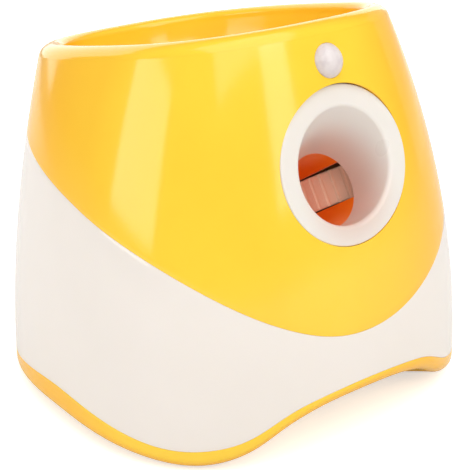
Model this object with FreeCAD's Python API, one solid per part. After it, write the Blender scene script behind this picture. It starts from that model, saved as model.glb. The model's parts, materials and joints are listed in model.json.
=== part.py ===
import FreeCAD, Part
import os
from math import acos, atan2, cos, degrees, pi, radians, sin, sqrt, tan

os.makedirs("parts", exist_ok=True)

Vector = FreeCAD.Vector

# ---------------------------------------------------------------- driving dimensions (mm)
# Written frame: +Z up, launch side faces -Y, origin on the ground under the middle of the whole.
# Drawing frame: the same, but its origin is under the hopper's drop axis.
middle_y = 5.4                 # the whole's middle, behind the drop axis

# Body outline: a rounded square section that tapers upwards in front and at the sides.
body_half_width = 160.3        # half width at the ground
body_front = 149.5             # front reach at the ground
body_back = 156.0              # rear reach at the ground
body_crown = 649.0             # radius of the upward taper, front and sides
back_flare = 0.012             # outward lean of the back wall
corner_power = 2.52            # exponent of the rounded-square section
ring_points = 72               # support points of every closed section curve

# Split heights, as (degrees from the front, height) pairs, mirrored left to right.
colour_seam = ((0, 82), (24, 97.4), (47, 128.3), (67, 149.6), (94, 164.5), (120, 177), (150, 188), (180, 192))
base_seam = ((0, 47), (22, 41), (38, 21.5), (52, 16.7), (66, 21.5), (90, 29.3),
             (114, 21.5), (130, 16.7), (150, 20), (180, 24))
base_edge = ((0, 36.6), (14, 34.5), (24, 27), (34, 12), (47, 2.5), (60, 3.6), (80, 7.5),
             (100, 7.5), (120, 3.6), (133, 2.5), (152, 4.5), (180, 6.5))

# Hopper rim: a plane that leans back.
rim_height = 264.7             # rim height on the origin's axis
rim_slope = 0.2166             # rise of the rim towards the front
lip_width = 16.0
lip_outer_round = 5.6
lip_height = 8.0
lip_inner_round = 6.0
lip_hollow = (10.5, 4.4)        # inset and depth of the roll's underside

wall = 2.8                     # shells
bowl_wall = 2.6
lap_height = 4.0               # hidden overlap of neighbouring shells
lap_wall = 1.5
fit_gap = 0.15                 # between nested fixed pieces
run_gap = 0.05                 # shaft in a bore
slide_gap = 0.3                # moving piece beside a fixed one

# Base
edge_round = 9.0
floor_bottom = 8.0
floor_wall = 3.0
floor_inset = 16.0             # flat floor starts this far in, at sides and back
arch_depth = 44.0              # extra inset of the floor behind the front arch
foot_angle = 47.0
foot_inset = 24.0
foot_radius = 8.5
foot_pocket = 1.5
foot_seat = 2.5                # height of the pad's visible part
boss_radius = 5.0
screw_radius = 1.7
screw_head = 3.2

# Ball and launch line
ball_radius = 25.4
bore_radius = ball_radius + 1.0   # launch bore
chamber_wall = 3.0
launch_pitch = 33.0            # degrees above level
wheel_y = -52.0                # launch line passes here between the wheels
wheel_z = 139.8
wheel_gap = 44.0               # free gap between the tyres
wheel_rise = 3.0               # wheels' middle above the launch line
tyre_radius = 42.0
tyre_width = 24.0
tyre_depth = 6.0
tyre_rib_count = 32
rib_groove = 1.5
hub_web = 4.0
motor_shaft_radius = 2.5

# Chamber, along the launch line; positive is rearwards
chamber_front = -51.0
chamber_back = 100.0
flange_wall = 2.5
flange_reach = 9.0
flange_flat = 2.0              # flange above and below the chamber wall
ear_reach = 9.5
ear_wall = 3.0
slot_back = 30.0
slot_side_gap = 1.2
ball_rest = 62.0

# Ring and funnel
ring_radius = 53.7
ring_y = -117.0
ring_drop = 71.9               # ring centre below the rim height
ring_tilt = 18.0
ring_wall = 2.8
ring_depth = 9.0
mouth_radius = 39.5
mouth_round = 3.6
funnel_wall = 2.5

# Motion sensor
lens_radius = 11.5
lens_height = 7.0
lens_wall = 1.1
lens_drop = 5.4                # lens centre below the rim height
pir_can_radius = 4.6
pir_board_side = 18.0
pir_flange = 1.1               # lens flange beyond the dome
board_wall = 1.6

# Hopper floor and chute
drop_radius = 29.5
drop_z = 180.0
drop_land = 8.0
chute_wall = 2.5

# Flywheel motors
motor_radius = 18.0
motor_length = 57.0
motor_nose = 6.5
frame_wall = 3.0
frame_drop = 16.0              # plate's top face below the launch line
leg_radius = 5.0
cradle_half = 14.0

# Pusher and gear train
pusher_travel = 42.0
pusher_head_radius = 22.0
pusher_head_wall = 8.0
rack_length = 82.0
rack_half_width = 5.0
rack_top = 4.0
rack_module = 1.5
gear_module = 1.0
pressure_angle = 20.0
tooth_height = 0.8             # addendum over module
tooth_root = 1.0               # dedendum over module
backlash = 0.14
centre_gap = 0.1
rack_pinion_teeth = 16
rack_gear_teeth = 40
idler_pinion_teeth = 14
idler_gear_teeth = 40
feed_pinion_teeth = 12
gear_width = 5.0
gear_step = 1.0                # side gap between gear layers
rack_line = -6.0               # rack's pitch line below the launch line
rack_pinion_at = 126.0         # along the launch line
idler_angle = -60.0            # from the rack gear, in the side view
gear_shaft_radius = 2.0
plate_wall = 2.0
guide_wall = 2.0
feed_motor_radius = 14.0
feed_motor_length = 36.0
feed_shaft_radius = 1.5

# Batteries: six C cells in two rows of three
cell_radius = 13.0
cell_length = 50.0
cell_pitch = 27.0
cell_nub = 1.5
bay_from_side = 76.3           # bay centre to the left side at the ground
bay_y = 8.0
bay_gap = 1.2
bay_wall = 1.6
door_wall = 2.4
hinge_radius = 1.0

# Circuit boards and speaker
board_from_side = (98.3, 32.3)
board_y = (-45.0, 35.0)
board_lift = 8.0
post_radius = 3.5
speaker_from_side = 68.3
speaker_y = 66.0
speaker_radius = 20.0

# Rear panel
panel_z = 118.0
panel_half_width = 42.0
panel_half_height = 20.0
panel_face = 156.0             # y of the outer face
panel_wall = 4.6
panel_flange = 3.0
panel_flange_wall = 1.5
button_radius = 6.9
button_gap = 0.1
button_x = 22.0
button_proud = 1.6
button_travel = 1.0
light_radius = 1.5
light_rise = 12.0
switch_height = 4.0
jack_z = 60.0
jack_radius = 5.6


lens_z = rim_height - lens_drop
ring_z = rim_height - ring_drop
bay_x = bay_from_side - body_half_width
board_x = tuple(body_half_width - inset for inset in board_from_side)
speaker_x = body_half_width - speaker_from_side


# ---------------------------------------------------------------- small helpers
def box(x0, x1, y0, y1, z0, z1):
    return Part.makeBox(x1 - x0, y1 - y0, z1 - z0, Vector(x0, y0, z0))


def rod(radius, start, direction, length):
    return Part.makeCylinder(radius, length, Vector(*start), Vector(*direction))


def tube(outer, inner, start, direction, length):
    return rod(outer, start, direction, length).cut(rod(inner, start, direction, length))


def join(shapes):
    whole = shapes[0]
    if len(shapes) > 1:
        whole = whole.fuse(shapes[1:]).removeSplitter()
    return whole


def group(shapes):
    return Part.makeCompound(shapes)


def placed(shape, placement):
    copy = shape.copy()
    copy.Placement = placement.multiply(copy.Placement)
    return copy


def mirrored(shape):
    return shape.mirror(Vector(0, 0, 0), Vector(1, 0, 0))


def both_sides(shape):
    return [shape, mirrored(shape)]


def write(name, shape):
    """Parts are drawn about the drop axis and written about the middle of the whole."""
    shape.translated(Vector(0, -middle_y, 0)).exportStep(f"parts/{name}.step")


def leaning(y, z, tilt):
    """Frame whose own -Y looks outwards and up by the tilt."""
    return FreeCAD.Placement(Vector(0, y, z), FreeCAD.Rotation(Vector(1, 0, 0), -tilt))


launch = leaning(wheel_y, wheel_z, launch_pitch)
ring_frame = leaning(ring_y, ring_z, ring_tilt)


def on_launch(shape):
    return placed(shape, launch)


def launch_point(x, y, n):
    return launch.multVec(Vector(x, y, n))


# ---------------------------------------------------------------- body outline
def half_width_at(z):
    return body_half_width - z * z / (2 * body_crown)


def front_at(z):
    return body_front - z * z / (2 * body_crown)


def back_at(z):
    return body_back + back_flare * z


def body_radius(angle, z, inset=0.0):
    """Distance from the axis to the wall, at an angle from the front."""
    reach = front_at(z) if cos(angle) > 0 else back_at(z)
    across = (abs(sin(angle)) / (half_width_at(z) - inset)) ** corner_power
    along = (abs(cos(angle)) / (reach - inset)) ** corner_power
    return (across + along) ** (-1 / corner_power)


def body_point(angle, z, inset=0.0):
    radius = body_radius(angle, z, inset)
    return Vector(radius * sin(angle), -radius * cos(angle), z)


def height_curve(pairs):
    """Smooth left-right symmetric height over the angle from the front."""
    curve = Part.BSplineCurve()
    curve.interpolate(Points=[Vector(a, h, 0) for a, h in pairs],
                      InitialTangent=Vector(1, 0, 0), FinalTangent=Vector(1, 0, 0))

    def height(angle, inset=0.0):
        turn = abs(degrees(atan2(sin(angle), cos(angle))))
        low, high = curve.FirstParameter, curve.LastParameter
        for _ in range(30):
            middle = (low + high) / 2
            if curve.value(middle).x < turn:
                low = middle
            else:
                high = middle
        return curve.value((low + high) / 2).y

    return height


def rim_at(drop=0.0):
    def height(angle, inset=0.0):
        z = rim_height
        for _ in range(8):
            z = rim_height + rim_slope * body_radius(angle, z, inset) * cos(angle)
        return z - drop

    return height


def shifted(height, rise):
    return lambda angle, inset=0.0: height(angle, inset) + rise


def between(low, high, share):
    return lambda angle, inset=0.0: low(angle, inset) * (1 - share) + high(angle, inset) * share


seam_height = height_curve(colour_seam)
base_seam_height = height_curve(base_seam)
base_edge_height = height_curve(base_edge)


# ---------------------------------------------------------------- skins made of closed rings
def closed_curve(point_at):
    points = [point_at(2 * pi * i / ring_points + pi) for i in range(ring_points)]
    curve = Part.BSplineCurve()
    curve.interpolate(Points=points, PeriodicFlag=True,
                      Parameters=[i / ring_points for i in range(ring_points + 1)])
    return curve.toShape()


def ring(inset, height):
    """Closed curve on the body's wall; inset may depend on the angle."""
    def point(angle):
        depth = inset(angle) if callable(inset) else inset
        return body_point(angle, height(angle, depth), depth)

    return closed_curve(point)


def skin(rings):
    if len(rings) == 2:
        return Part.makeRuledSurface(rings[0], rings[1]).Faces
    return Part.makeLoft([Part.Wire([edge]) for edge in rings], False, False).Faces


def solid_of(faces):
    shell = Part.makeShell(faces)
    shell.sewShape()
    solid = Part.Solid(shell)
    if solid.Volume < 0:
        solid.reverse()
    return solid


def wall_rings(inset, low, high, steps):
    return [ring(inset, between(low, high, k / steps)) for k in range(steps + 1)]


# ---------------------------------------------------------------- shells
lip_seat = rim_at(lip_height)


def make_upper_shell():
    outer = wall_rings(0, seam_height, lip_seat, 8)
    inner = wall_rings(wall, lip_seat, seam_height, 8)
    faces = skin(outer) + skin([outer[-1], inner[0]]) + skin(inner) + skin([inner[-1], outer[0]])
    shell = solid_of(faces)
    shell = join([shell] + [upper_boss(a) for a in shell_boss_angles()])
    shell = shell.cut(placed(rod(ring_radius + slide_gap, (0, -60, 0), (0, 1, 0), 90), ring_frame))
    lens_hole = rod(lens_radius + fit_gap, (0, -20, 0), (0, 1, 0), 40)
    shell = shell.cut(placed(lens_hole, lens_frame()))
    return shell.cut(group([boss_bore(a, screw_radius - 0.2) for a in shell_boss_angles()]))


def make_lower_shell():
    outer = wall_rings(0, base_seam_height, seam_height, 8)
    lap_in = wall + fit_gap
    lap_foot = shifted(seam_height, -2 * lap_height)
    corners = [outer[-1], ring(lap_in, seam_height), ring(lap_in, shifted(seam_height, lap_height)),
               ring(lap_in + lap_wall, shifted(seam_height, lap_height)), ring(lap_in + lap_wall, lap_foot)]
    inner = wall_rings(wall, shifted(lap_foot, -lap_height), base_seam_height, 8)
    faces = skin(outer)
    for first, second in zip(corners, corners[1:] + [inner[0]]):
        faces += skin([first, second])
    faces += skin(inner) + skin([inner[-1], outer[0]])
    shell = solid_of(faces)
    shell = join([shell] + [lower_ear(a) for a in shell_boss_angles()] + [base_boss(*p) for p in base_boss_places()])
    bores = [boss_bore(a, screw_radius + fit_gap) for a in shell_boss_angles()]
    bores += [rod(screw_radius - 0.2, (x, y, 0), (0, 0, 1), base_boss_top - 4) for x, y in base_boss_places()]
    shell = shell.cut(group(bores))
    shell = shell.cut(panel_opening())
    return shell.cut(rod(jack_radius + fit_gap, (0, body_back - 20, jack_z), (0, 1, 0), 40))


def shell_boss_angles():
    return [radians(a) for a in (75, 140, -75, -140)]


boss_inset = 12.0
upper_boss_height = 20.0
ear_height = 5.0
ear_drop = 1.0                 # ear's top below the colour seam
base_boss_top = 56.0
rib_half = 1.2


def boss_place(angle):
    point = body_point(angle, seam_height(angle) + upper_boss_height, boss_inset)
    return point.x, point.y


def radial_rib(x, y, z0, z1, start, reach, angle):
    """Flat rib from a boss towards the wall."""
    rib = box(-rib_half, rib_half, -reach, -start, z0, z1)
    turn = FreeCAD.Placement(Vector(x, y, 0), FreeCAD.Rotation(Vector(0, 0, 1), degrees(angle)))
    return placed(rib, turn)


def wall_reach(x, y, z):
    """Free distance from a point out to the middle of the wall at that height."""
    return body_radius(atan2(x, -y), z, wall / 2) - sqrt(x * x + y * y)


def upper_boss(angle):
    x, y = boss_place(angle)
    low = seam_height(angle) - ear_drop
    high = seam_height(angle) + upper_boss_height
    rib = radial_rib(x, y, seam_height(angle) + lap_height + 1.5, high, 0, wall_reach(x, y, high), atan2(x, -y))
    return join([rod(boss_radius, (x, y, low), (0, 0, 1), high - low), rib])


def lower_ear(angle):
    x, y = boss_place(angle)
    high = seam_height(angle) - ear_drop
    low = high - ear_height
    rib = radial_rib(x, y, low - 12, high, screw_head + 0.8, wall_reach(x, y, high), atan2(x, -y))
    return join([rod(boss_radius, (x, y, low), (0, 0, 1), ear_height), rib])


def boss_bore(angle, radius):
    x, y = boss_place(angle)
    return rod(radius, (x, y, seam_height(angle) - ear_drop - ear_height), (0, 0, 1), 15)


def base_boss_places():
    return [(121, -70), (-121, -70), (65, 122), (-65, 122)]


def base_boss(x, y):
    low = floor_bottom + floor_wall
    rib = radial_rib(x, y, base_boss_top - 16, base_boss_top, 0, wall_reach(x, y, base_boss_top), atan2(x, -y))
    return join([rod(boss_radius, (x, y, low), (0, 0, 1), base_boss_top - low), rib])


# ---------------------------------------------------------------- hopper
def bowl_ring(share, depth_share, offset, drop):
    """Ring between the lip's inner edge (0) and the land round the drop hole (1)."""
    edge = lip_width + offset
    seat = rim_at(lip_inner_round)
    land = drop_radius + drop_land

    def point(angle):
        z = seat(angle, edge)
        top = body_point(angle, z, edge)
        base = Vector(land * sin(angle), -land * cos(angle), drop_z)
        flat = top * (1 - share) + base * share
        return Vector(flat.x, flat.y, z * (1 - depth_share) + drop_z * depth_share - drop)

    return closed_curve(point)


bowl_profile = ((0.025, 0.2), (0.07, 0.4), (0.15, 0.57), (0.28, 0.715), (0.45, 0.84),
                (0.63, 0.925), (0.82, 0.97), (1.0, 1.0))


def flat_circle(radius, z):
    return closed_curve(lambda angle: Vector(radius * sin(angle), -radius * cos(angle), z))


def make_hopper_bowl():
    lip = []
    for k in range(5):
        turn = pi / 2 * k / 4
        lip.append(ring(lip_outer_round * (1 - cos(turn)), rim_at(lip_height * (1 - sin(turn)))))
    for k in range(1, 5):
        turn = pi / 2 * k / 4
        inset = lip_outer_round + (lip_width - lip_outer_round) * sin(turn)
        lip.append(ring(inset, rim_at(lip_inner_round * (1 - cos(turn)))))
    top = lip + [bowl_ring(s, d, 0, 0) for s, d in bowl_profile]
    under = [bowl_ring(s, d, -bowl_wall, bowl_wall * min(1, 3 * s)) for s, d in reversed(bowl_profile)]
    hole_top = flat_circle(drop_radius, drop_z)
    hole_low = flat_circle(drop_radius, drop_z - bowl_wall)
    lap_in = wall + fit_gap
    tuck = rim_at(lip_height + lap_height)
    hollow = rim_at(lip_hollow[1])
    corners = [bowl_ring(0, 0.1, -bowl_wall, 0), ring(lip_hollow[0], hollow), ring(lap_in + lap_wall, hollow),
               ring(lap_in + lap_wall, tuck), ring(lap_in, tuck), ring(lap_in, lip_seat), lip[0]]
    faces = skin(top) + skin([top[-1], hole_top]) + skin([hole_top, hole_low]) + skin([hole_low, under[0]])
    faces += skin(under + [corners[0]])
    for first, second in zip(corners, corners[1:]):
        faces += skin([first, second])
    return solid_of(faces)


def make_feed_chute():
    outer = drop_radius + chute_wall
    top = drop_z - bowl_wall
    low = wheel_z - 40
    pipe = join([rod(outer, (0, 0, low), (0, 0, 1), top - low),
                 rod(drop_radius + drop_land, (0, 0, top - 3), (0, 0, 1), 3)])
    pipe = pipe.cut(rod(drop_radius, (0, 0, low), (0, 0, 1), top - low))
    pipe = pipe.cut(on_launch(rod(bore_radius + chamber_wall, (0, -80, 0), (0, 1, 0), 240)))
    return pipe.cut(on_launch(box(-90, 90, -100, 160, -120, ear_wall + slide_gap)))


# ---------------------------------------------------------------- base
def floor_start(angle):
    return floor_inset + arch_depth * cos(angle / 2) ** 8


def make_base_pan():
    floor_top = floor_bottom + floor_wall
    rounding = []
    for k in range(5):
        turn = pi / 2 * k / 4
        rounding.append(ring(edge_round * (1 - sin(turn)), shifted(base_edge_height, edge_round * (1 - cos(turn)))))
    flat_low = ring(floor_start, lambda angle, inset: floor_bottom)
    flat_top = ring(floor_start, lambda angle, inset: floor_top)
    lap_in = wall + fit_gap
    lap_foot = shifted(base_seam_height, -1.2)
    seat = ring(0, base_seam_height)
    tongue = [ring(lap_in, base_seam_height), ring(lap_in, shifted(base_seam_height, lap_height)),
              ring(lap_in + lap_wall, shifted(base_seam_height, lap_height)), ring(lap_in + lap_wall, lap_foot)]
    inner_low = ring(edge_round, shifted(base_edge_height, floor_wall))
    chain = [rounding[-1], seat] + tongue + [inner_low, flat_top]
    faces = skin(rounding)
    for first, second in zip(chain, chain[1:]):
        faces += skin([first, second])
    faces += Part.Face(Part.Wire([flat_top])).Faces + Part.Face(Part.Wire([flat_low])).Faces
    faces += skin([flat_low, rounding[0]])
    pan = solid_of(faces)
    pads = [rod(foot_radius + 2.5, (x, y, foot_seat), (0, 0, 1), floor_top - foot_seat) for x, y in foot_places()]
    posts = [rod(post_radius, (x, y, floor_top - 1), (0, 0, 1), board_lift + 1) for x, y in board_post_places()]
    pan = join([pan] + pads + posts)
    cuts = [rod(foot_radius + fit_gap, (x, y, 0), (0, 0, 1), foot_seat + foot_pocket) for x, y in foot_places()]
    cuts += [rod(1.2, (x, y, floor_top + 2), (0, 0, 1), board_lift) for x, y in board_post_places()]
    for x, y in base_boss_places() + frame_leg_places():
        cuts.append(rod(screw_radius + fit_gap, (x, y, 0), (0, 0, 1), floor_top + 5))
        cuts.append(rod(screw_head + slide_gap, (x, y, 0), (0, 0, 1), floor_bottom + 1.2))
    x0, x1, y0, y1 = bay_bounds()
    cuts.append(box(x0, x1, y0, y1, 0, floor_top + 5))
    cuts.append(rod(hinge_radius + run_gap, (hinge_x(), y0 - 3, hinge_z()), (0, 1, 0), y1 - y0 + 6))
    cuts += [rod(1.9, (x, y, 0), (0, 0, 1), floor_top + 5) for x, y in grille_places()]
    return pan.cut(group(cuts))


def foot_places():
    places = []
    for angle in (foot_angle, 180 - foot_angle, -foot_angle, foot_angle - 180):
        point = body_point(radians(angle), 0, foot_inset)
        places.append((point.x, point.y))
    return places


def make_rubber_feet():
    pads = []
    for x, y in foot_places():
        pad = rod(foot_radius, (x, y, 0), (0, 0, 1), foot_seat + foot_pocket)
        rim = [e for e in pad.Edges if abs(e.CenterOfMass.z) < 0.01 and e.Length > 20]
        pads.append(pad.makeFillet(0.8, rim))
    return group(pads)


# ---------------------------------------------------------------- launch ring and funnel
def make_launch_nozzle():
    inner_mouth = Part.Wire([placed(Part.makeCircle(mouth_radius, Vector(0, -0.01, 0), Vector(0, 1, 0)),
                                    ring_frame).Edges[0]])
    outer_mouth = Part.Wire([placed(Part.makeCircle(mouth_radius + funnel_wall, Vector(0, 0, 0), Vector(0, 1, 0)),
                                    ring_frame).Edges[0]])
    inner_end = Part.Wire([on_launch(Part.makeCircle(bore_radius, Vector(0, chamber_front, 0),
                                                     Vector(0, 1, 0))).Edges[0]])
    outer_end = Part.Wire([on_launch(Part.makeCircle(bore_radius + funnel_wall, Vector(0, chamber_front, 0),
                                                     Vector(0, 1, 0))).Edges[0]])
    plate = placed(join([rod(ring_radius, (0, 0, 0), (0, 1, 0), ring_wall),
                         tube(ring_radius, ring_radius - 2.2, (0, 0, 0), (0, 1, 0), ring_depth)]), ring_frame)
    funnel = Part.makeLoft([outer_mouth, outer_end], True, False)
    collar = on_launch(flange_disc(chamber_front - flange_wall))
    nozzle = join([plate, funnel, collar]).cut(Part.makeLoft([inner_mouth, inner_end], True, False))
    mouth = [e for e in nozzle.Edges if abs(e.Length - 2 * pi * mouth_radius) < 1
             and (e.CenterOfMass - Vector(0, ring_y, ring_z)).Length < 1]
    nozzle = nozzle.makeFillet(mouth_round, mouth)
    rims = [e for e in nozzle.Edges if abs(e.Length - 2 * pi * ring_radius) < 1
            and (e.CenterOfMass - Vector(0, ring_y, ring_z)).Length < 1]
    nozzle = nozzle.makeFillet(1.0, rims)
    return nozzle.cut(on_launch(group(flange_bores(screw_radius + fit_gap))))


def flange_disc(start):
    """Flange of the chamber and of the funnel, flattened above and below."""
    outer = bore_radius + chamber_wall
    disc = rod(outer + flange_reach, (0, start, 0), (0, 1, 0), flange_wall)
    flat = outer + flange_flat
    return disc.common(box(-2 * outer, 2 * outer, start, start + flange_wall, -flat, flat))


flange_screw_angles = (45, 135, 225, 315)


def flange_screw_places():
    reach = bore_radius + chamber_wall + flange_reach / 2 + 0.8
    return [(reach * cos(radians(a)), reach * sin(radians(a))) for a in flange_screw_angles]


def flange_bores(radius):
    return [rod(radius, (x, chamber_front - flange_wall - 0.5, z), (0, 1, 0), 2 * flange_wall + 1)
            for x, z in flange_screw_places()]


# ---------------------------------------------------------------- motion sensor
def lens_frame():
    tilt = degrees(atan2(lens_z / body_crown, 1))
    return leaning(-front_at(lens_z), lens_z, tilt)


def make_pir_lens():
    sphere_radius = (lens_radius ** 2 + lens_height ** 2) / (2 * lens_height)
    centre = Vector(0, sphere_radius - lens_height, 0)
    dome = Part.makeSphere(sphere_radius, centre).cut(Part.makeSphere(sphere_radius - lens_wall, centre))
    dome = dome.common(box(-20, 20, -20, 0, -20, 20))
    neck = tube(lens_radius, lens_radius - lens_wall, (0, 0, 0), (0, 1, 0), wall + 1.6)
    flange = tube(lens_radius + pir_flange, lens_radius - lens_wall, (0, wall + 0.4, 0), (0, 1, 0), 1.2)
    return placed(join([dome, neck, flange]), lens_frame())


pir_board_at = 7.2


def make_pir_holder():
    cup = tube(lens_radius + pir_flange, lens_radius - 0.6, (0, wall + 1.6, 0), (0, 1, 0), pir_board_at - wall - 1.6)
    return placed(cup, lens_frame())


def make_pir_sensor():
    can = join([rod(pir_can_radius, (0, pir_board_at - 4.2, 0), (0, 1, 0), 3.6),
                rod(pir_can_radius + 0.6, (0, pir_board_at - 0.8, 0), (0, 1, 0), 0.8)])
    return placed(can, lens_frame())


def make_pir_board():
    half = pir_board_side / 2
    board = box(-half - 3, half + 3, pir_board_at, pir_board_at + board_wall, -half, half)
    return placed(board, lens_frame())


# ---------------------------------------------------------------- launch chamber
def chamber_tube():
    outer = bore_radius + chamber_wall
    length = chamber_back - chamber_front
    body = rod(outer, (0, chamber_front, 0), (0, 1, 0), length)
    flange = flange_disc(chamber_front)
    side = outer + ear_reach
    ears = box(-side, side, chamber_back - 56, chamber_back - 4, -ear_wall, ear_wall)
    foot = box(-10, 10, -12, 12, -outer - 0.5, -outer + 2)
    whole = join([body, flange, ears, foot])
    whole = whole.cut(rod(bore_radius, (0, chamber_front, 0), (0, 1, 0), length))
    half_slot = tyre_width / 2 + slot_side_gap
    slot = box(-outer - 1, outer + 1, chamber_front - 1, slot_back, wheel_rise - half_slot, wheel_rise + half_slot)
    whole = whole.cut(slot)
    return whole.cut(group(flange_bores(screw_radius - 0.2) + ear_bores(screw_radius)))


def ear_places():
    x = bore_radius + chamber_wall + ear_reach / 2 + 0.4
    return [(side * x, y) for side in (1, -1) for y in (chamber_back - 48, chamber_back - 12)]


def ear_bores(radius):
    return [rod(radius, (x, y, -20), (0, 0, 1), 40) for x, y in ear_places()]


def make_chamber_top():
    half = chamber_tube().common(box(-90, 90, -100, 160, 0, 60))
    return on_launch(half).cut(rod(drop_radius, (0, 0, 60), (0, 0, 1), 140))


def make_chamber_bottom():
    half = chamber_tube().common(box(-90, 90, -100, 160, -60, 0))
    half = half.cut(group([rod(sensor_radius + 0.1, (side * 24, ball_rest + 4, sensor_n), (side, 0, 0), 12)
                           for side in (1, -1)]))
    return on_launch(half)


sensor_radius = 2.5
sensor_n = -10.0


def make_ball_sensors():
    start = bore_radius - 1.2
    sensors = [join([rod(sensor_radius, (side * start, ball_rest + 4, sensor_n), (side, 0, 0), 6),
                     rod(sensor_radius + 0.9, (side * (start + 4.6), ball_rest + 4, sensor_n), (side, 0, 0), 5)])
               for side in (1, -1)]
    return on_launch(group(sensors))


# ---------------------------------------------------------------- flywheels
wheel_x = wheel_gap / 2 + tyre_radius


def make_flywheel_hub():
    outer = tyre_radius - tyre_depth
    half = tyre_width / 2 - 0.6
    rim = tube(outer, outer - 3, (0, 0, -half), (0, 0, 1), 2 * half)
    web = rod(outer - 2, (0, 0, -hub_web / 2), (0, 0, 1), hub_web)
    boss = rod(7, (0, 0, -half), (0, 0, 1), 2 * half - 3)
    hub = join([rim, web, boss]).cut(rod(motor_shaft_radius, (0, 0, -half), (0, 0, 1), 2 * half))
    holes = [rod(5, (20 * cos(pi / 3 * k), 20 * sin(pi / 3 * k), -half), (0, 0, 1), 2 * half) for k in range(6)]
    return on_launch(hub.cut(group(holes)).translated(Vector(wheel_x, 0, wheel_rise)))


def make_flywheel_tyre():
    half = tyre_width / 2
    tyre = tube(tyre_radius, tyre_radius - tyre_depth, (0, 0, -half), (0, 0, 1), tyre_width)
    edges = [e for e in tyre.Edges if abs(e.Length - 2 * pi * tyre_radius) < 0.5]
    tyre = tyre.makeFillet(1.4, edges)
    reach = tyre_radius + 0.5
    grooves = []
    for k in range(tyre_rib_count):
        turn = 2 * pi * (k + 0.5) / tyre_rib_count
        grooves.append(rod(rib_groove, (reach * cos(turn), reach * sin(turn), -half), (0, 0, 1), tyre_width))
    return on_launch(tyre.cut(group(grooves)).translated(Vector(wheel_x, 0, wheel_rise)))


motor_top = -frame_drop - frame_wall


def make_motor_shaft():
    low = motor_top - 12
    return on_launch(rod(motor_shaft_radius, (wheel_x, 0, low), (0, 0, 1), wheel_rise + tyre_width / 2 - 3.6 - low))


def make_flywheel_motor():
    can = rod(motor_radius, (wheel_x, 0, motor_top - motor_length), (0, 0, 1), motor_length)
    rims = [e for e in can.Edges if abs(e.Length - 2 * pi * motor_radius) < 0.1]
    can = can.makeFillet(1.5, rims)
    nose = rod(motor_nose, (wheel_x, 0, motor_top), (0, 0, 1), frame_wall)
    bearing = rod(motor_nose - 1, (wheel_x, 0, motor_top - motor_length - 2.5), (0, 0, 1), 3)
    tabs = [box(wheel_x + s * 10 - 0.4, wheel_x + s * 10 + 0.4, -2, 2, motor_top - motor_length - 7,
                motor_top - motor_length + 2) for s in (1, -1)]
    motor = join([can, nose, bearing] + tabs)
    shaft_bore = rod(motor_shaft_radius + run_gap, (wheel_x, 0, motor_top - 13), (0, 0, 1), 20)
    screws = [rod(1.3, (wheel_x, y, motor_top - 5), (0, 0, 1), 6) for y in (-motor_screw_y, motor_screw_y)]
    return on_launch(motor.cut(group([shaft_bore] + screws)))


motor_screw_y = 11.0


def make_motor_screws():
    screws = []
    for side in (1, -1):
        for y in (-motor_screw_y, motor_screw_y):
            screws.append(screw((side * wheel_x, y, -frame_drop), (0, 0, -1), 1.3, 2.6, 1.6, frame_wall + 5))
    return on_launch(group(screws))


def screw(seat, direction, radius, head_radius, head_wall, length):
    """Pan-head screw: seat is under the head, direction points along the thread."""
    way = Vector(*direction)
    top = Vector(*seat) - way * head_wall
    head = Part.makeCylinder(head_radius, head_wall, top, way)
    crown = [e for e in head.Edges if (e.CenterOfMass - top).Length < 0.01 and e.Length > 3]
    head = head.makeFillet(head_wall * 0.45, crown)
    slot_depth = head_wall * 0.6
    slot = Part.makeCylinder(head_radius * 0.45, slot_depth, top, way)
    return head.fuse(Part.makeCylinder(radius, length, Vector(*seat), way)).cut(slot).removeSplitter()


def frame_leg_places():
    front = launch_point(wheel_x + motor_radius + leg_radius + 1.5, -22, motor_top)
    back = launch_point(40, 28, motor_top)
    return [(s * p.x, p.y) for p in (front, back) for s in (1, -1)]


def make_motor_frame():
    outer = bore_radius + chamber_wall
    inner_x = sqrt(outer ** 2 - frame_drop ** 2) + 0.6
    side = box(inner_x, 96, -30, 34, motor_top, -frame_drop)
    cheek = box(outer + 0.3, outer + 3.3, -cradle_half, cradle_half, -outer - 3.5, -frame_drop)
    strap = box(-outer - 3.3, outer + 3.3, -cradle_half, cradle_half, -outer - 3.5, -outer - 0.5)
    plate = on_launch(join(both_sides(side) + both_sides(cheek) + [strap]))
    floor_top = floor_bottom + floor_wall
    under = on_launch(box(-200, 200, -300, 300, -300, (motor_top - frame_drop) / 2))
    legs = [rod(leg_radius, (x, y, floor_top), (0, 0, 1), 160).common(under) for x, y in frame_leg_places()]
    frame = join([plate] + legs)
    cuts = [on_launch(rod(motor_nose + 0.2, (s * wheel_x, 0, motor_top - 1), (0, 0, 1), 6)) for s in (1, -1)]
    cuts += [on_launch(rod(1.5, (s * wheel_x, y, motor_top - 1), (0, 0, 1), 6))
             for s in (1, -1) for y in (-motor_screw_y, motor_screw_y)]
    cuts += [rod(screw_radius - 0.2, (x, y, 0), (0, 0, 1), floor_top + 15) for x, y in frame_leg_places()]
    return frame.cut(group(cuts))


# ---------------------------------------------------------------- pusher and gears
def involute(angle):
    return tan(angle) - angle


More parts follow.
